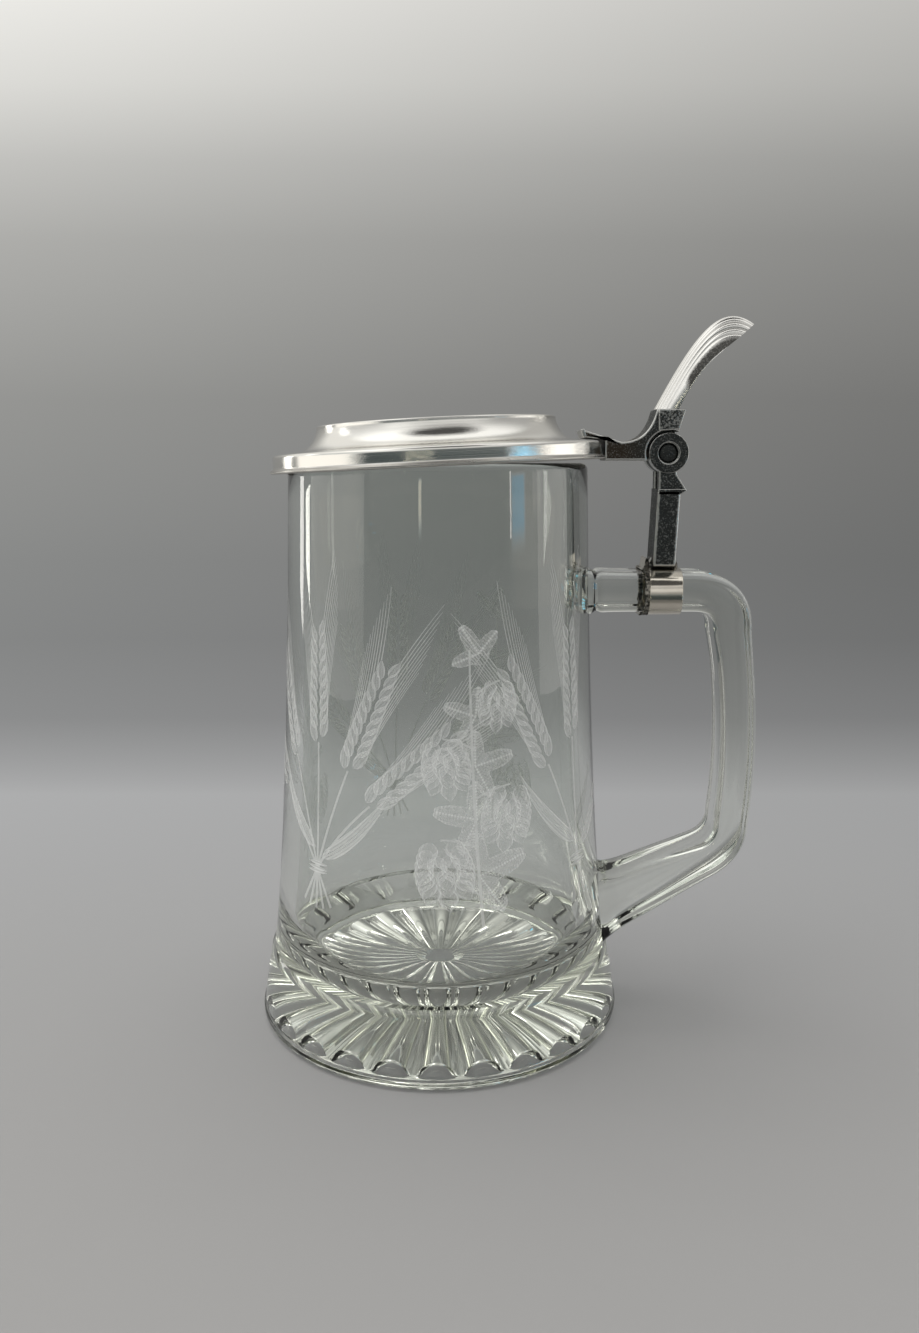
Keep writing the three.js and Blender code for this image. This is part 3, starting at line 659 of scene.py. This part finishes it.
def pinSurface():
    e = sizes(ears)
    end, rim = e.face - e.sink, e.pin - 0.5
    profile = eased([(0, -end - 0.25), (rim, -end - 0.1), (e.pin, -end + 0.3), (e.pin, end - 0.3),
                     (rim, end + 0.1), (0, end + 0.25)], 0.3, 5)
    return turnedOnHinge(profile, worn=0.0)


# bracket: side plates hollowed round the ears, a thinner web and knuckle between them

bracket = {
    "halfDepth": 5.2, "armDrop": 2, "armTopRise": 2.8, "armTopReach": 12.3, "blockLeft": 3.4,
    "blockRight": 4, "blockFlare": 1.6, "blockRise": 11.1, "relief": 5.9, "reliefPoints": 40,
    "knuckle": 1.8, "bore": 2.52, "tongueReach": 5.4, "tongueRise": 24, "lidGap": 0.3, "blockProud": 0.25,
}


def bracketSurfaces():
    b, cover, e = sizes(bracket), sizes(lid), sizes(ears)
    bottom, armTop, blockTop = hingeZ - b.armDrop, hingeZ + b.armTopRise, hingeZ + b.blockRise
    blockLeft, blockRight = hingeX - b.blockLeft, hingeX + b.blockRight
    slope, rise = np.tan(np.radians(cover.tilt)), np.tan(np.radians(b.tongueRise))
    edge = cover.radius + b.lidGap
    ledgeTop = cover.place + cover.sideHeight + 0.6 + edge * slope
    tipX = edge - b.tongueReach
    tipZ = cover.place + cover.ledgeHeight + 0.3 + tipX * slope
    topX, topZ = tipX - 0.9, ledgeTop + b.tongueReach * rise + 0.3
    heel = np.degrees(np.arccos((b.blockRight - b.blockFlare) / b.relief))
    start = 180 + np.degrees(np.arcsin(b.armDrop / b.relief))
    around = arc((hingeX, hingeZ), b.relief, heel, start, b.reliefPoints)
    arm = [(edge + 0.05, bottom + 0.1), (edge + 0.05, ledgeTop), (tipX - 0.1, tipZ + 0.05), (topX, topZ)]
    hollow = bent((hingeX - b.armTopReach, armTop), (hingeX - 5.2, armTop), (blockLeft, blockTop), 24)
    outline = np.concatenate([around, arm, hollow, [(blockRight, blockTop)]])[::-1]
    reach = [np.zeros(b.reliefPoints), [0.3, 0.2, 0.3, 0.4], np.zeros(len(hollow) - 1), [0.3, 0.3]]
    block = [(blockLeft + 0.5, hingeZ + 5.6), (blockRight - b.blockFlare, hingeZ + 5.9),
             (blockRight, blockTop), (blockLeft + 0.3, blockTop)]
    web = [(edge + 3, bottom + 0.1), (hingeX - 4.8, bottom + 0.1), (hingeX, hingeZ - 3),
           (hingeX + 2, hingeZ + 2), (hingeX + 2.6, blockTop - 1), (hingeX - 3, blockTop - 1),
           (hingeX - 6, armTop), (edge + 3, armTop - 0.6)]
    knuckle = eased([(b.bore, -b.knuckle), (e.radius, -b.knuckle), (e.radius, b.knuckle),
                     (b.bore, b.knuckle)], 0.2, 4, closed=True)
    tongueEnd = [(tipX - 0.2, tipZ - 0.05), (tipX + 0.6, tipZ + 0.3), (topX + 0.9, topZ + 0.05),
                 (topX - 0.1, topZ - 0.2)]
    back = hingeX - b.relief - 0.2
    flange = [(edge + 0.05, bottom), (back, bottom), (back, bottom + 0.6), (edge + 0.05, bottom + 0.6)]
    # the tongue's end and the flange under the arm are painted bright all over: a painted highlight
    bright = [plate(tongueEnd, 0.2, b.halfDepth + 0.15, 0.2, 0.2),
              plate(flange, 0.15, b.halfDepth + 0.25, 0.15, 0.2)]
    for surface in bright:
        surface["values"]["worn"] = np.ones(len(surface["points"]))
    return bright + [
        plate(outline, np.concatenate(reach)[::-1], b.halfDepth, 0.3, 0.45),
        plate(block, 0.3, b.halfDepth + b.blockProud, 0.25, 0.35, salt=1),
        plate(web, 0.2, b.knuckle, 0.2, 0.4), turnedOnHinge(knuckle, True, worn=0.0, salt=0.3)]


# lift: an arched shell drawn along two rails, crest and edges, with reeds that run along it

lift = {
    "gap": 0.05, "reach": 21.5, "rise": 32.6, "baseWidth": 5.2, "tipWidth": 6.8, "baseHeight": 5.6,
    "tipDrop": 6.8, "tipBack": 8.6, "startAngle": 62, "endAngle": -36, "startPull": 19, "endPull": 11.5,
    "edgeBow": 1.6, "wall": 1.8, "reeds": 9, "reedDepth": 0.55, "reededShare": 0.66,
    "rows": 90, "cols": 151,
}


def liftSurface():
    p, b = sizes(lift), sizes(bracket)

    def toward(degrees, length):
        return length * np.array([np.cos(np.radians(degrees)), np.sin(np.radians(degrees))])

    foot = np.array([hingeX - b.blockLeft, hingeZ + b.blockRise + p.gap])
    tip = np.array([hingeX + p.reach, hingeZ + p.rise])
    t = np.linspace(0, 1, p.rows)[:, None]
    c1, c2 = foot + toward(p.startAngle, p.startPull), tip - toward(p.endAngle, p.endPull)
    crest = (1 - t) ** 3 * foot + 3 * t * (1 - t) ** 2 * c1 + 3 * t ** 2 * (1 - t) * c2 + t ** 3 * tip
    edgeFoot, edgeTip = foot + [p.baseHeight, 0], tip - [p.tipBack, p.tipDrop]
    edge = bent(edgeFoot, (edgeFoot + edgeTip) / 2 + [-p.edgeBow, p.edgeBow], edgeTip, p.rows)
    down = edge - crest
    height = lengths(down)
    down /= height
    width = p.baseWidth + (p.tipWidth - p.baseWidth) * t
    across = np.linspace(-1, 1, p.cols)[None]
    angle, aside = across * np.pi / 2, np.abs(across)
    reeded = 1 - smoothStep(aside, p.reededShare - 0.05, p.reededShare + 0.05)
    swell = np.abs(np.sin(np.pi * p.reeds * (across / p.reededShare + 1) / 2))
    groove = (1 - swell ** 0.9) * reeded
    cut = p.reedDepth * groove * (0.3 + 0.7 * smoothStep(t, 0, 0.6))

    def arch(shrink, cut):
        out = (width - shrink - cut) * np.sin(angle)
        fall = height - (height - shrink - cut) * np.cos(angle)
        place = crest[:, None] + down[:, None] * fall[..., None]
        return np.stack([place[..., 0], out, place[..., 1]], -1)

    loop = np.concatenate([arch(0, cut), arch(p.wall, 0)[:, ::-1]], 1)
    # the lower flanks past the reeds, and the whole inside of the shell, are marked for a painted shade
    flank = smoothStep(aside, p.reededShare - 0.02, p.reededShare + 0.14)
    flank = flank * (1 - 0.8 * smoothStep(aside, 0.95, 0.99))
    full = np.ones_like(groove * t)
    under = np.concatenate([flank * smoothStep(t, 0.18, 0.32), full], 1)
    # the grooves' darkening grows toward the tip: tarnish with a painted shade
    dark = np.concatenate([groove ** 0.8 * (0.35 + 0.65 * t), 0 * full], 1)
    surface = sheetOf(loop, wrapCols=True, groove=dark, under=under)
    rows, cols = loop.shape[:2]
    i = np.arange(cols // 2 - 1)
    for o in (0, (rows - 1) * cols):  # both ends are closed between the outer and the inner arch
        surface["faces"] += np.stack([o + i, o + cols - 1 - i, o + cols - 2 - i, o + i + 1], -1).tolist()
    return surface


# frosted barley and hops on the outside of the glass, drawn on the unrolled wall in
# millimetres across and up; wallCentre is the drawing's zero, in degrees about the axis
# twigs give the way across, height, direction, length and size; leaves do without the length

frosting = {
    "wallCentre": -90, "drawRadius": 42, "lift": 0.03, "foot": 42, "vineTop": 108,
    "sprays": [(-32, 0, 5), (-116, 0, 5), (41, 1, 3)], "hops": [8, -74, -152],
    "earAngles": [-36, -18, -1, 16, 33], "stemLengths": [25, 29, 32, 28, 24], "pairs": 9, "pairStep": 3.1,
    "grainLength": 6.6, "grainWidth": 1.5, "grainLean": 19, "awnLength": 21, "tailLength": 10.5,
    "tieLength": 6.8, "bladeLength": 27, "bladeWidth": 1.9, "coneLength": 17, "coneWidth": 6.2,
    "bractRows": [2, 3, 4, 4, 3, 3, 2, 1], "bractLength": 5.6, "bractWidth": 2.35, "leafReach": 13,
    "twigs": [(2.0, 60, -62, 9, 1.0), (1.6, 72, 58, 9, 0.95), (1.4, 84, -56, 8, 0.85),
              (1.6, 97, 48, 7, 0.72)],
    "leaves": [(2.2, 53, 70, 0.95), (1.8, 67, -78, 0.8), (1.5, 80, 76, 0.75), (1.7, 92, -70, 0.62),
               (2.6, 107, -34, 0.6)],
}


def wallRadius(height):
    wall = wallCurve(200)
    return np.interp(height, wall[:, 1], wall[:, 0])


# drawn patches laid round the wall: the way across becomes an angle, the way up a height
def onWall(drawn, frost, hatch, lift):
    p = sizes(frosting)
    count, rows, cols = drawn.shape[:3]
    angle = np.radians(p.wallCentre) + drawn[..., 0] / p.drawRadius
    r = wallRadius(drawn[..., 1]) + p.lift + lift
    points = np.stack([r * np.cos(angle), r * np.sin(angle), drawn[..., 1]], -1)
    one = np.array(gridFaces(rows, cols))
    faces = (one[None] + np.arange(count)[:, None, None] * rows * cols).reshape(-1, 4).tolist()
    full = lambda v: np.broadcast_to(v, (count, rows, cols)).reshape(-1)
    values = {"frost": full(frost), "hatch": full(hatch)}
    return {"points": points.reshape(-1, 3), "faces": faces, "values": values}


def leaned(x, y, way):  # 0 degrees is up, positive leans to the right
    a = np.radians(way)
    return np.stack([x * np.cos(a) + y * np.sin(a), y * np.cos(a) - x * np.sin(a)], -1)


# what patches start from: bases, ways, the steps along and across, and each patch's own numbers
def patchGrid(base, way, rows, cols, *values):
    spread = lambda v: np.broadcast_to(np.array(v, float), len(way))[:, None, None]
    t, s = np.linspace(0, 1, rows)[None, :, None], np.linspace(-1, 1, cols)[None, None]
    return np.array(base, float)[:, None, None], spread(way), t, s, *map(spread, values)


# leaf-like patches: the half width follows a sine of a power of the way along, and the
# middle line bends aside with the square of it
def petals(base, way, length, halfWidth, bulge=0.8, curl=0.0, lift=0.0, rows=9, cols=7, edge=0.6):
    base, way, t, s, length, curl, wide = patchGrid(base, way, rows, cols, length, curl, halfWidth)
    half = wide * np.maximum(np.sin(np.pi * t ** bulge), 0.03) ** 0.8
    drawn = base + leaned(s * half + curl * t ** 2 * length, t * length, way)
    frost = (1 - edge) + edge * np.abs(s) ** 2.5 + 0 * t
    return onWall(drawn, frost, s * half, lift)


# stalks and bristles: strips that taper along their length
def strips(base, way, length, halfWidth, tip=0.3, curl=0.0, lift=0.0, rows=9):
    base, way, t, s, length, curl = patchGrid(base, way, rows, 2, length, curl)
    half = halfWidth * (1 - (1 - tip) * t)
    drawn = base + leaned(s * half + curl * t ** 2 * length, t * length, way)
    return onWall(drawn, 0.8 + 0 * s * t, 0 * s * t, lift)


def ends(base, way, length, curl=0.0):  # where bent strips end, and their way there
    place = np.array(base) + leaned(curl * length, length, way)
    return place, way + np.degrees(np.arctan(2 * curl))


def barleySpray(middle, first, last):
    p = sizes(frosting)
    way, length = np.array(p.earAngles[first:last], float), np.array(p.stemLengths[first:last], float)
    knots = np.repeat([[middle, p.foot + 9.0]], len(way), 0)
    curl = way / 260
    heads, headWay = ends(knots, way, length, curl)
    tie = [(middle - 3.4, p.foot + 8 + k) for k in (0, 1.1, 2.2)]
    blade = [(middle - 1, p.foot + 14), (middle + 1.5, p.foot + 12)]
    pair, side = np.repeat(np.arange(p.pairs), 2), np.tile([-1.0, 1.0], p.pairs)
    small = 1 - 0.35 * (pair / p.pairs) ** 2
    up, aside = pair * p.pairStep + 0.75 * (side + 1), side * 1.15 * small
    base = (heads[:, None] + leaned(aside, up, headWay[:, None])).reshape(-1, 2)
    lean = (headWay[:, None] + side * p.grainLean).reshape(-1)
    pair, side, small = (np.tile(v, len(way)) for v in (pair, side, small))
    grain = p.grainLength * small
    tips = ends(base, lean, grain)[0]
    awnWay = np.repeat(headWay, 2 * p.pairs) + side * (7 + 0.6 * pair)
    awn = p.awnLength * (1.1 - 0.3 * (pair / p.pairs))
    return [strips(knots, way, length, 0.34, 0.8, curl),
            strips(knots, 180 + way * 0.8, p.tailLength, 0.36, 0.9),
            petals(tie, [88, 92, 90], p.tieLength, 0.5, 1.0, 0, 0.02, edge=0.2),
            petals(base, lean, grain, p.grainWidth * small, 0.75, 0, 0.01),
            strips(tips, awnWay, awn, 0.13, 0.4, side * 0.05, 0.02),
            petals(blade, [-58, 62], p.bladeLength, p.bladeWidth, 0.6, [0.28, -0.3], -0.005, 15, 7, 0.5)]


# a hop cone is rows of bracts that hang from its stalk, each row over the one below it
def hopCone(top, way, size):
    p = sizes(frosting)
    row = np.repeat(np.arange(len(p.bractRows)), p.bractRows)
    across = np.concatenate([np.linspace(-1, 1, n) if n > 1 else [0.0] for n in p.bractRows])
    down = p.coneLength * size * (0.02 + 0.1 * row)
    wide = p.coneWidth * size * np.sin(np.pi * (0.16 + 0.1 * row)) ** 0.8 * 0.62
    base = np.array(top) + leaned(across * wide, -down, way)
    over = 0.03 - 0.002 * row[:, None, None]
    length, halfWidth = p.bractLength * size, p.bractWidth * size
    return petals(base, way + 180 - across * 24, length, halfWidth, 0.85, 0, over, edge=0.85)


# a lobed leaf in polar form: the reach swells along three lobes, and its rim is toothed
def hopLeaf(base, way, size):
    t, turn = np.linspace(0, 1, 14)[:, None], np.radians(np.linspace(-158, 158, 121))[None]
    off = turn[None] - np.radians(np.array([-76, 0, 76]))[:, None, None]
    lobe = np.max(np.array([0.8, 1, 0.8])[:, None, None] * np.exp(-(off / 0.4) ** 2), axis=0)
    teeth = 1 + 0.05 * np.abs(np.sin(turn * 15))
    r = t * (frosting["leafReach"] * size * (0.34 + 0.66 * lobe) * teeth)
    near = np.min(np.abs(off), axis=0)
    vein = np.exp(-(r * np.sin(np.minimum(near, 1.5)) / 0.28) ** 2)
    rib = r * np.cos(near) - 1.5 * r * np.sin(np.minimum(near, 1.2))
    side = np.exp(-((rib % 2.6 - 1.3) / 0.3) ** 2)
    frost = np.clip(0.34 + 0.6 * vein + 0.26 * side + 0.45 * smoothStep(t, 0.86, 1), 0, 1)
    drawn = np.array(base, float) + leaned(r * np.sin(turn), r * np.cos(turn), way)
    return onWall(drawn[None], frost[None], r[None], -0.01)


def hopVine(middle):
    p = sizes(frosting)
    low = p.foot - 2
    shapes = [strips([(middle + 3, low)], [-4], p.vineTop - low, 0.4, 0.6, 0.03, 0, 25)]
    for aside, height, way, length, size in p.twigs:
        start, curl = (middle + aside, height), 0.25 * np.sign(way)
        end = ends(start, way, length, curl)[0]
        shapes += [strips([start], [way], length, 0.3, 0.8, curl), hopCone(end, way * 0.12, size)]
    return shapes + [hopLeaf((middle + aside, height), way, size) for aside, height, way, size in p.leaves]


def frostedEtch():
    f = Finish("frostedEtch")
    line = f.node("Math", {"operation": "SINE"}, {0: f.value("hatch") * 8.5})
    cloud = f.noise(160, 3)
    grit = f.noise(3000, 2)
    strength = f.value("frost") * (0.58 + 0.12 * line) * (0.6 + 0.5 * cloud + 0.3 * grit)
    # the frost glows faintly: painted light, standing in for the light that the etching scatters
    return f.done(f.surface(baseColor=(0.9, 0.91, 0.9), roughness=0.75, emissionColor=(0.9, 0.91, 0.9),
                            emissionStrength=0.08, alpha=strength.clamped()))


def etchSurfaces():
    p = sizes(frosting)
    return sum([barleySpray(*spray) for spray in p.sprays] + [hopVine(place) for place in p.hops], [])


glassFinish, pewterFinish, castFinish = clearGlass(), satinPewter(), darkCasting()
nickelFinish, liftFinish = brightNickel(), polishedLift()
settle(fuseGlass(glassFinish), "mug", "clear_glass", "glass_body", "glass_handle")
settle(makePiece("pewterLid", [lidSurface()], pewterFinish, 50), "lid", "pewter", "lid_shell")
settle(makePiece("nickelStrap", strapSurfaces(), nickelFinish), "mug", "nickel", "handle_band")
settle(makePiece("castPost", postSurfaces(), castFinish), "mug", "dark_cast", "hinge_post")
settle(makePiece("hingePin", [pinSurface()], castFinish), "mug", "dark_cast", "hinge_pin")
settle(makePiece("castBracket", bracketSurfaces(), castFinish), "lid", "dark_cast", "lid_bracket")
settle(makePiece("reededLift", [liftSurface()], liftFinish, 60), "lid", "pewter", "thumb_lift")
settle(makePiece("frostedBarleyAndHops", etchSurfaces(), frostedEtch(), 80), "mug", "clear_glass")


# stage: a paper sweep, a soft light above, narrow lights at the sides and two pale walls

stage = {
    "flatTo": 190, "sweepRadius": 260, "wallTop": 1400, "halfWidth": 1500, "front": -1300,
    "toneLength": 900, "drop": 0.02,
    # these tones are the backdrop's painted light, from the dark foot of the sweep to its bright top
    "tones": [(0.0, (0.39, 0.392, 0.394)), (0.05, (0.31, 0.312, 0.314)), (0.1, (0.235, 0.237, 0.238)),
              (0.18, (0.2, 0.203, 0.202)), (0.25, (0.204, 0.207, 0.204)), (0.38, (0.244, 0.244, 0.236)),
              (0.494, (0.34, 0.338, 0.325)), (0.548, (0.435, 0.432, 0.415)), (0.6, (0.58, 0.575, 0.55)),
              (0.7, (0.76, 0.75, 0.72))],
    "paper": (0.31, 0.31, 0.313), "frontPaperInShadow": (0.19, 0.19, 0.188),
}


def sweepFinish():
    f = Finish("paperSweep")
    along = f.value("along")
    x, y = f.axes()[:2]
    # the wall's tones are painted light: it glows dark at its foot and bright high up, as the light falls on
    # it
    tone = f.node("ValToRGB", {"stops": stage["tones"]}, {"Fac": along})
    # the left side is painted lighter than the right: painted side light
    aside = (x.between(-0.5, 0.5) - 0.5) * 0.75
    shade = 1 - aside * (0.35 + along.between(0, 0.3) * 0.45)
    tone = f.node("VectorMath", {"operation": "SCALE"}, {0: tone, "Scale": shade})
    path = f.node("LightPath", {}, {}, "Is Camera Ray")
    outs = path.socket.node.outputs
    seen = (path + Wire(f, outs["Is Glossy Ray"]) + Wire(f, outs["Is Transmission Ray"])).clamped()
    # the paper toward the camera is painted darker: a painted shadow on the floor in front
    colour = f.mix((0 - y).between(0.15, 0.4), stage["paper"], stage["frontPaperInShadow"])
    paper = f.node("BsdfDiffuse", {}, {"Color": colour})
    glow = f.node("Emission", {}, {"Color": tone, "Strength": 1.0})
    return f.done(f.node("MixShader", {}, {0: seen * along.between(-0.35, 0.02), 1: paper, 2: glow}))


def makeStage():
    s = sizes(stage)
    floor = straight((s.front, 0), (s.flatTo, 0), 60)
    bend = arc((s.flatTo, s.sweepRadius), s.sweepRadius, -90, 0, 40)[1:]
    wall = straight(bend[-1], (bend[-1][0], s.wallTop), 30)[1:]
    profile = np.concatenate([floor, bend, wall])
    run = runLength(profile)
    run = (run - run[len(floor) - 1]) / s.toneLength
    x = np.linspace(-s.halfWidth, s.halfWidth, 3)[None]
    points = np.stack(np.broadcast_arrays(x, profile[:, 0, None], profile[:, 1, None] - s.drop), -1)
    sweep = makePiece("paperSweep", [sheetOf(points, along=run[:, None])], sweepFinish(), 80)


def softLight(name, place, aim, size, power):
    lamp = bpy.data.lights.new(name, "AREA")
    lamp.color, lamp.energy, lamp.shape = (1, 0.97, 0.92), power, "RECTANGLE"
    lamp.size, lamp.size_y = size[0] * mm, size[1] * mm
    light = bpy.data.objects.new(name, lamp)
    bpy.context.scene.collection.objects.link(light)
    light.visible_camera = False
    way = np.array(aim, float) - np.array(place, float)
    light.location = [v * mm for v in place]
    light.rotation_euler = (np.arctan2(np.hypot(way[0], way[1]), -way[2]), 0, np.arctan2(-way[0], way[1]))
    return light


makeStage()
softLight("ceilingLight", (-120, 60, 900), (0, 0, 80), (900, 700), 6.5).visible_glossy = False
softLight("leftStrip", (-600, 330, 130), (0, 0, 100), (70, 420), 0.4)
softLight("backStrip", (560, 300, 120), (0, 0, 100), (40, 500), 0.12)
softLight("rightStrip", (566, -411, 190), (0, 0, 140), (9, 130), 0.03)
leftWall = softLight("leftWall", (-640, -120, 160), (0, 0, 120), (640, 320), 0.55)
rightWall = softLight("rightWall", (640, 40, 160), (0, 0, 120), (380, 320), 0.4)
for light in (leftWall, rightWall):  # these two show only as reflections
    light.visible_transmission = light.visible_diffuse = False


# the room is a white tent: pale side walls, a bright top and a dark open front
def makeRoom():
    f = Finish("room", bpy.data.worlds)
    x, y, z = f.axes(f.node("TexCoord", {}, {}, "Generated"))
    front = (0 - y).between(0.46, 0.62)
    opening = front * (1 - z.between(0.13, 0.33))
    streak = front * z.between(0.33, 0.43) * (1 - z.between(0.5, 0.6))
    lens = ((x - 0.04) / 0.42) ** 2 + ((y + 0.38) / 0.3) ** 2  # a dark patch high over the camera
    patch = (1 - lens.between(0.75, 1.1)) * z.between(0, 0.1)
    leftTop = (0 - x).between(0.15, 0.6) * z.between(0.2, 0.5)
    level = 0.46 - 0.38 * opening + 0.45 * streak + 0.76 * z.between(0.5, 0.9) + 0.4 * leftTop
    level = level * (1 - patch * 0.93)

    def strip(place, half, low, high):  # a tall bright strip at this bearing, in degrees
        c, s = np.cos(np.radians(place)), np.sin(np.radians(place))
        aside = f.node("Math", {"operation": "ABSOLUTE"}, {0: y * c - x * s})
        reach = np.tan(np.radians(half))
        inside = ((x * c + y * s) * reach - aside).between(0, reach * 0.4)
        return inside * z.between(low - 0.03, low) * (1 - z.between(high, high + 0.03))

    mirrored = f.node("LightPath", {}, {}, "Is Glossy Ray")  # the strips show in reflections alone
    window = strip(-28, 7, 0, 0.11) * mirrored
    spot = strip(-102, 1.3, 0.02, 0.11) * mirrored
    shine = 0.7 * strip(-11, 5, 0.02, 0.11) + 1.2 * strip(166, 9, 0.3, 0.5) + 1.2 * strip(32, 9, 0.3, 0.45)
    level = level + 2.2 * window + 5 * spot + shine * mirrored
    tint = f.mix(z.between(-0.05, 0.3), (1, 0.95, 0.86), (1, 0.995, 0.975))
    tint = f.mix(opening, tint, (0.8, 0.98, 1))
    tint = f.mix(spot, f.mix(window, tint, (0.05, 0.6, 1)), (1, 0.93, 0.7))
    glow = f.node("Background", {}, {"Color": tint, "Strength": level})
    f.node("OutputWorld", {}, {"Surface": glow})
    bpy.context.scene.world = f.material


makeRoom()

view = {"place": (5.64, -284.48, 150.29), "down": 10.71, "focal": 1060, "tall": 1333, "sensor": 36}

camera = bpy.data.objects.new("camera", bpy.data.cameras.new("camera"))
bpy.context.scene.collection.objects.link(camera)
camera.location = [v * mm for v in view["place"]]
camera.rotation_euler = (np.radians(90 - view["down"]), 0, 0)
camera.data.sensor_width = view["sensor"]
camera.data.lens = view["sensor"] * view["focal"] / view["tall"]
bpy.context.scene.camera = camera
bpy.context.scene.view_settings.view_transform = "Standard"
print("stage, lights and camera set")
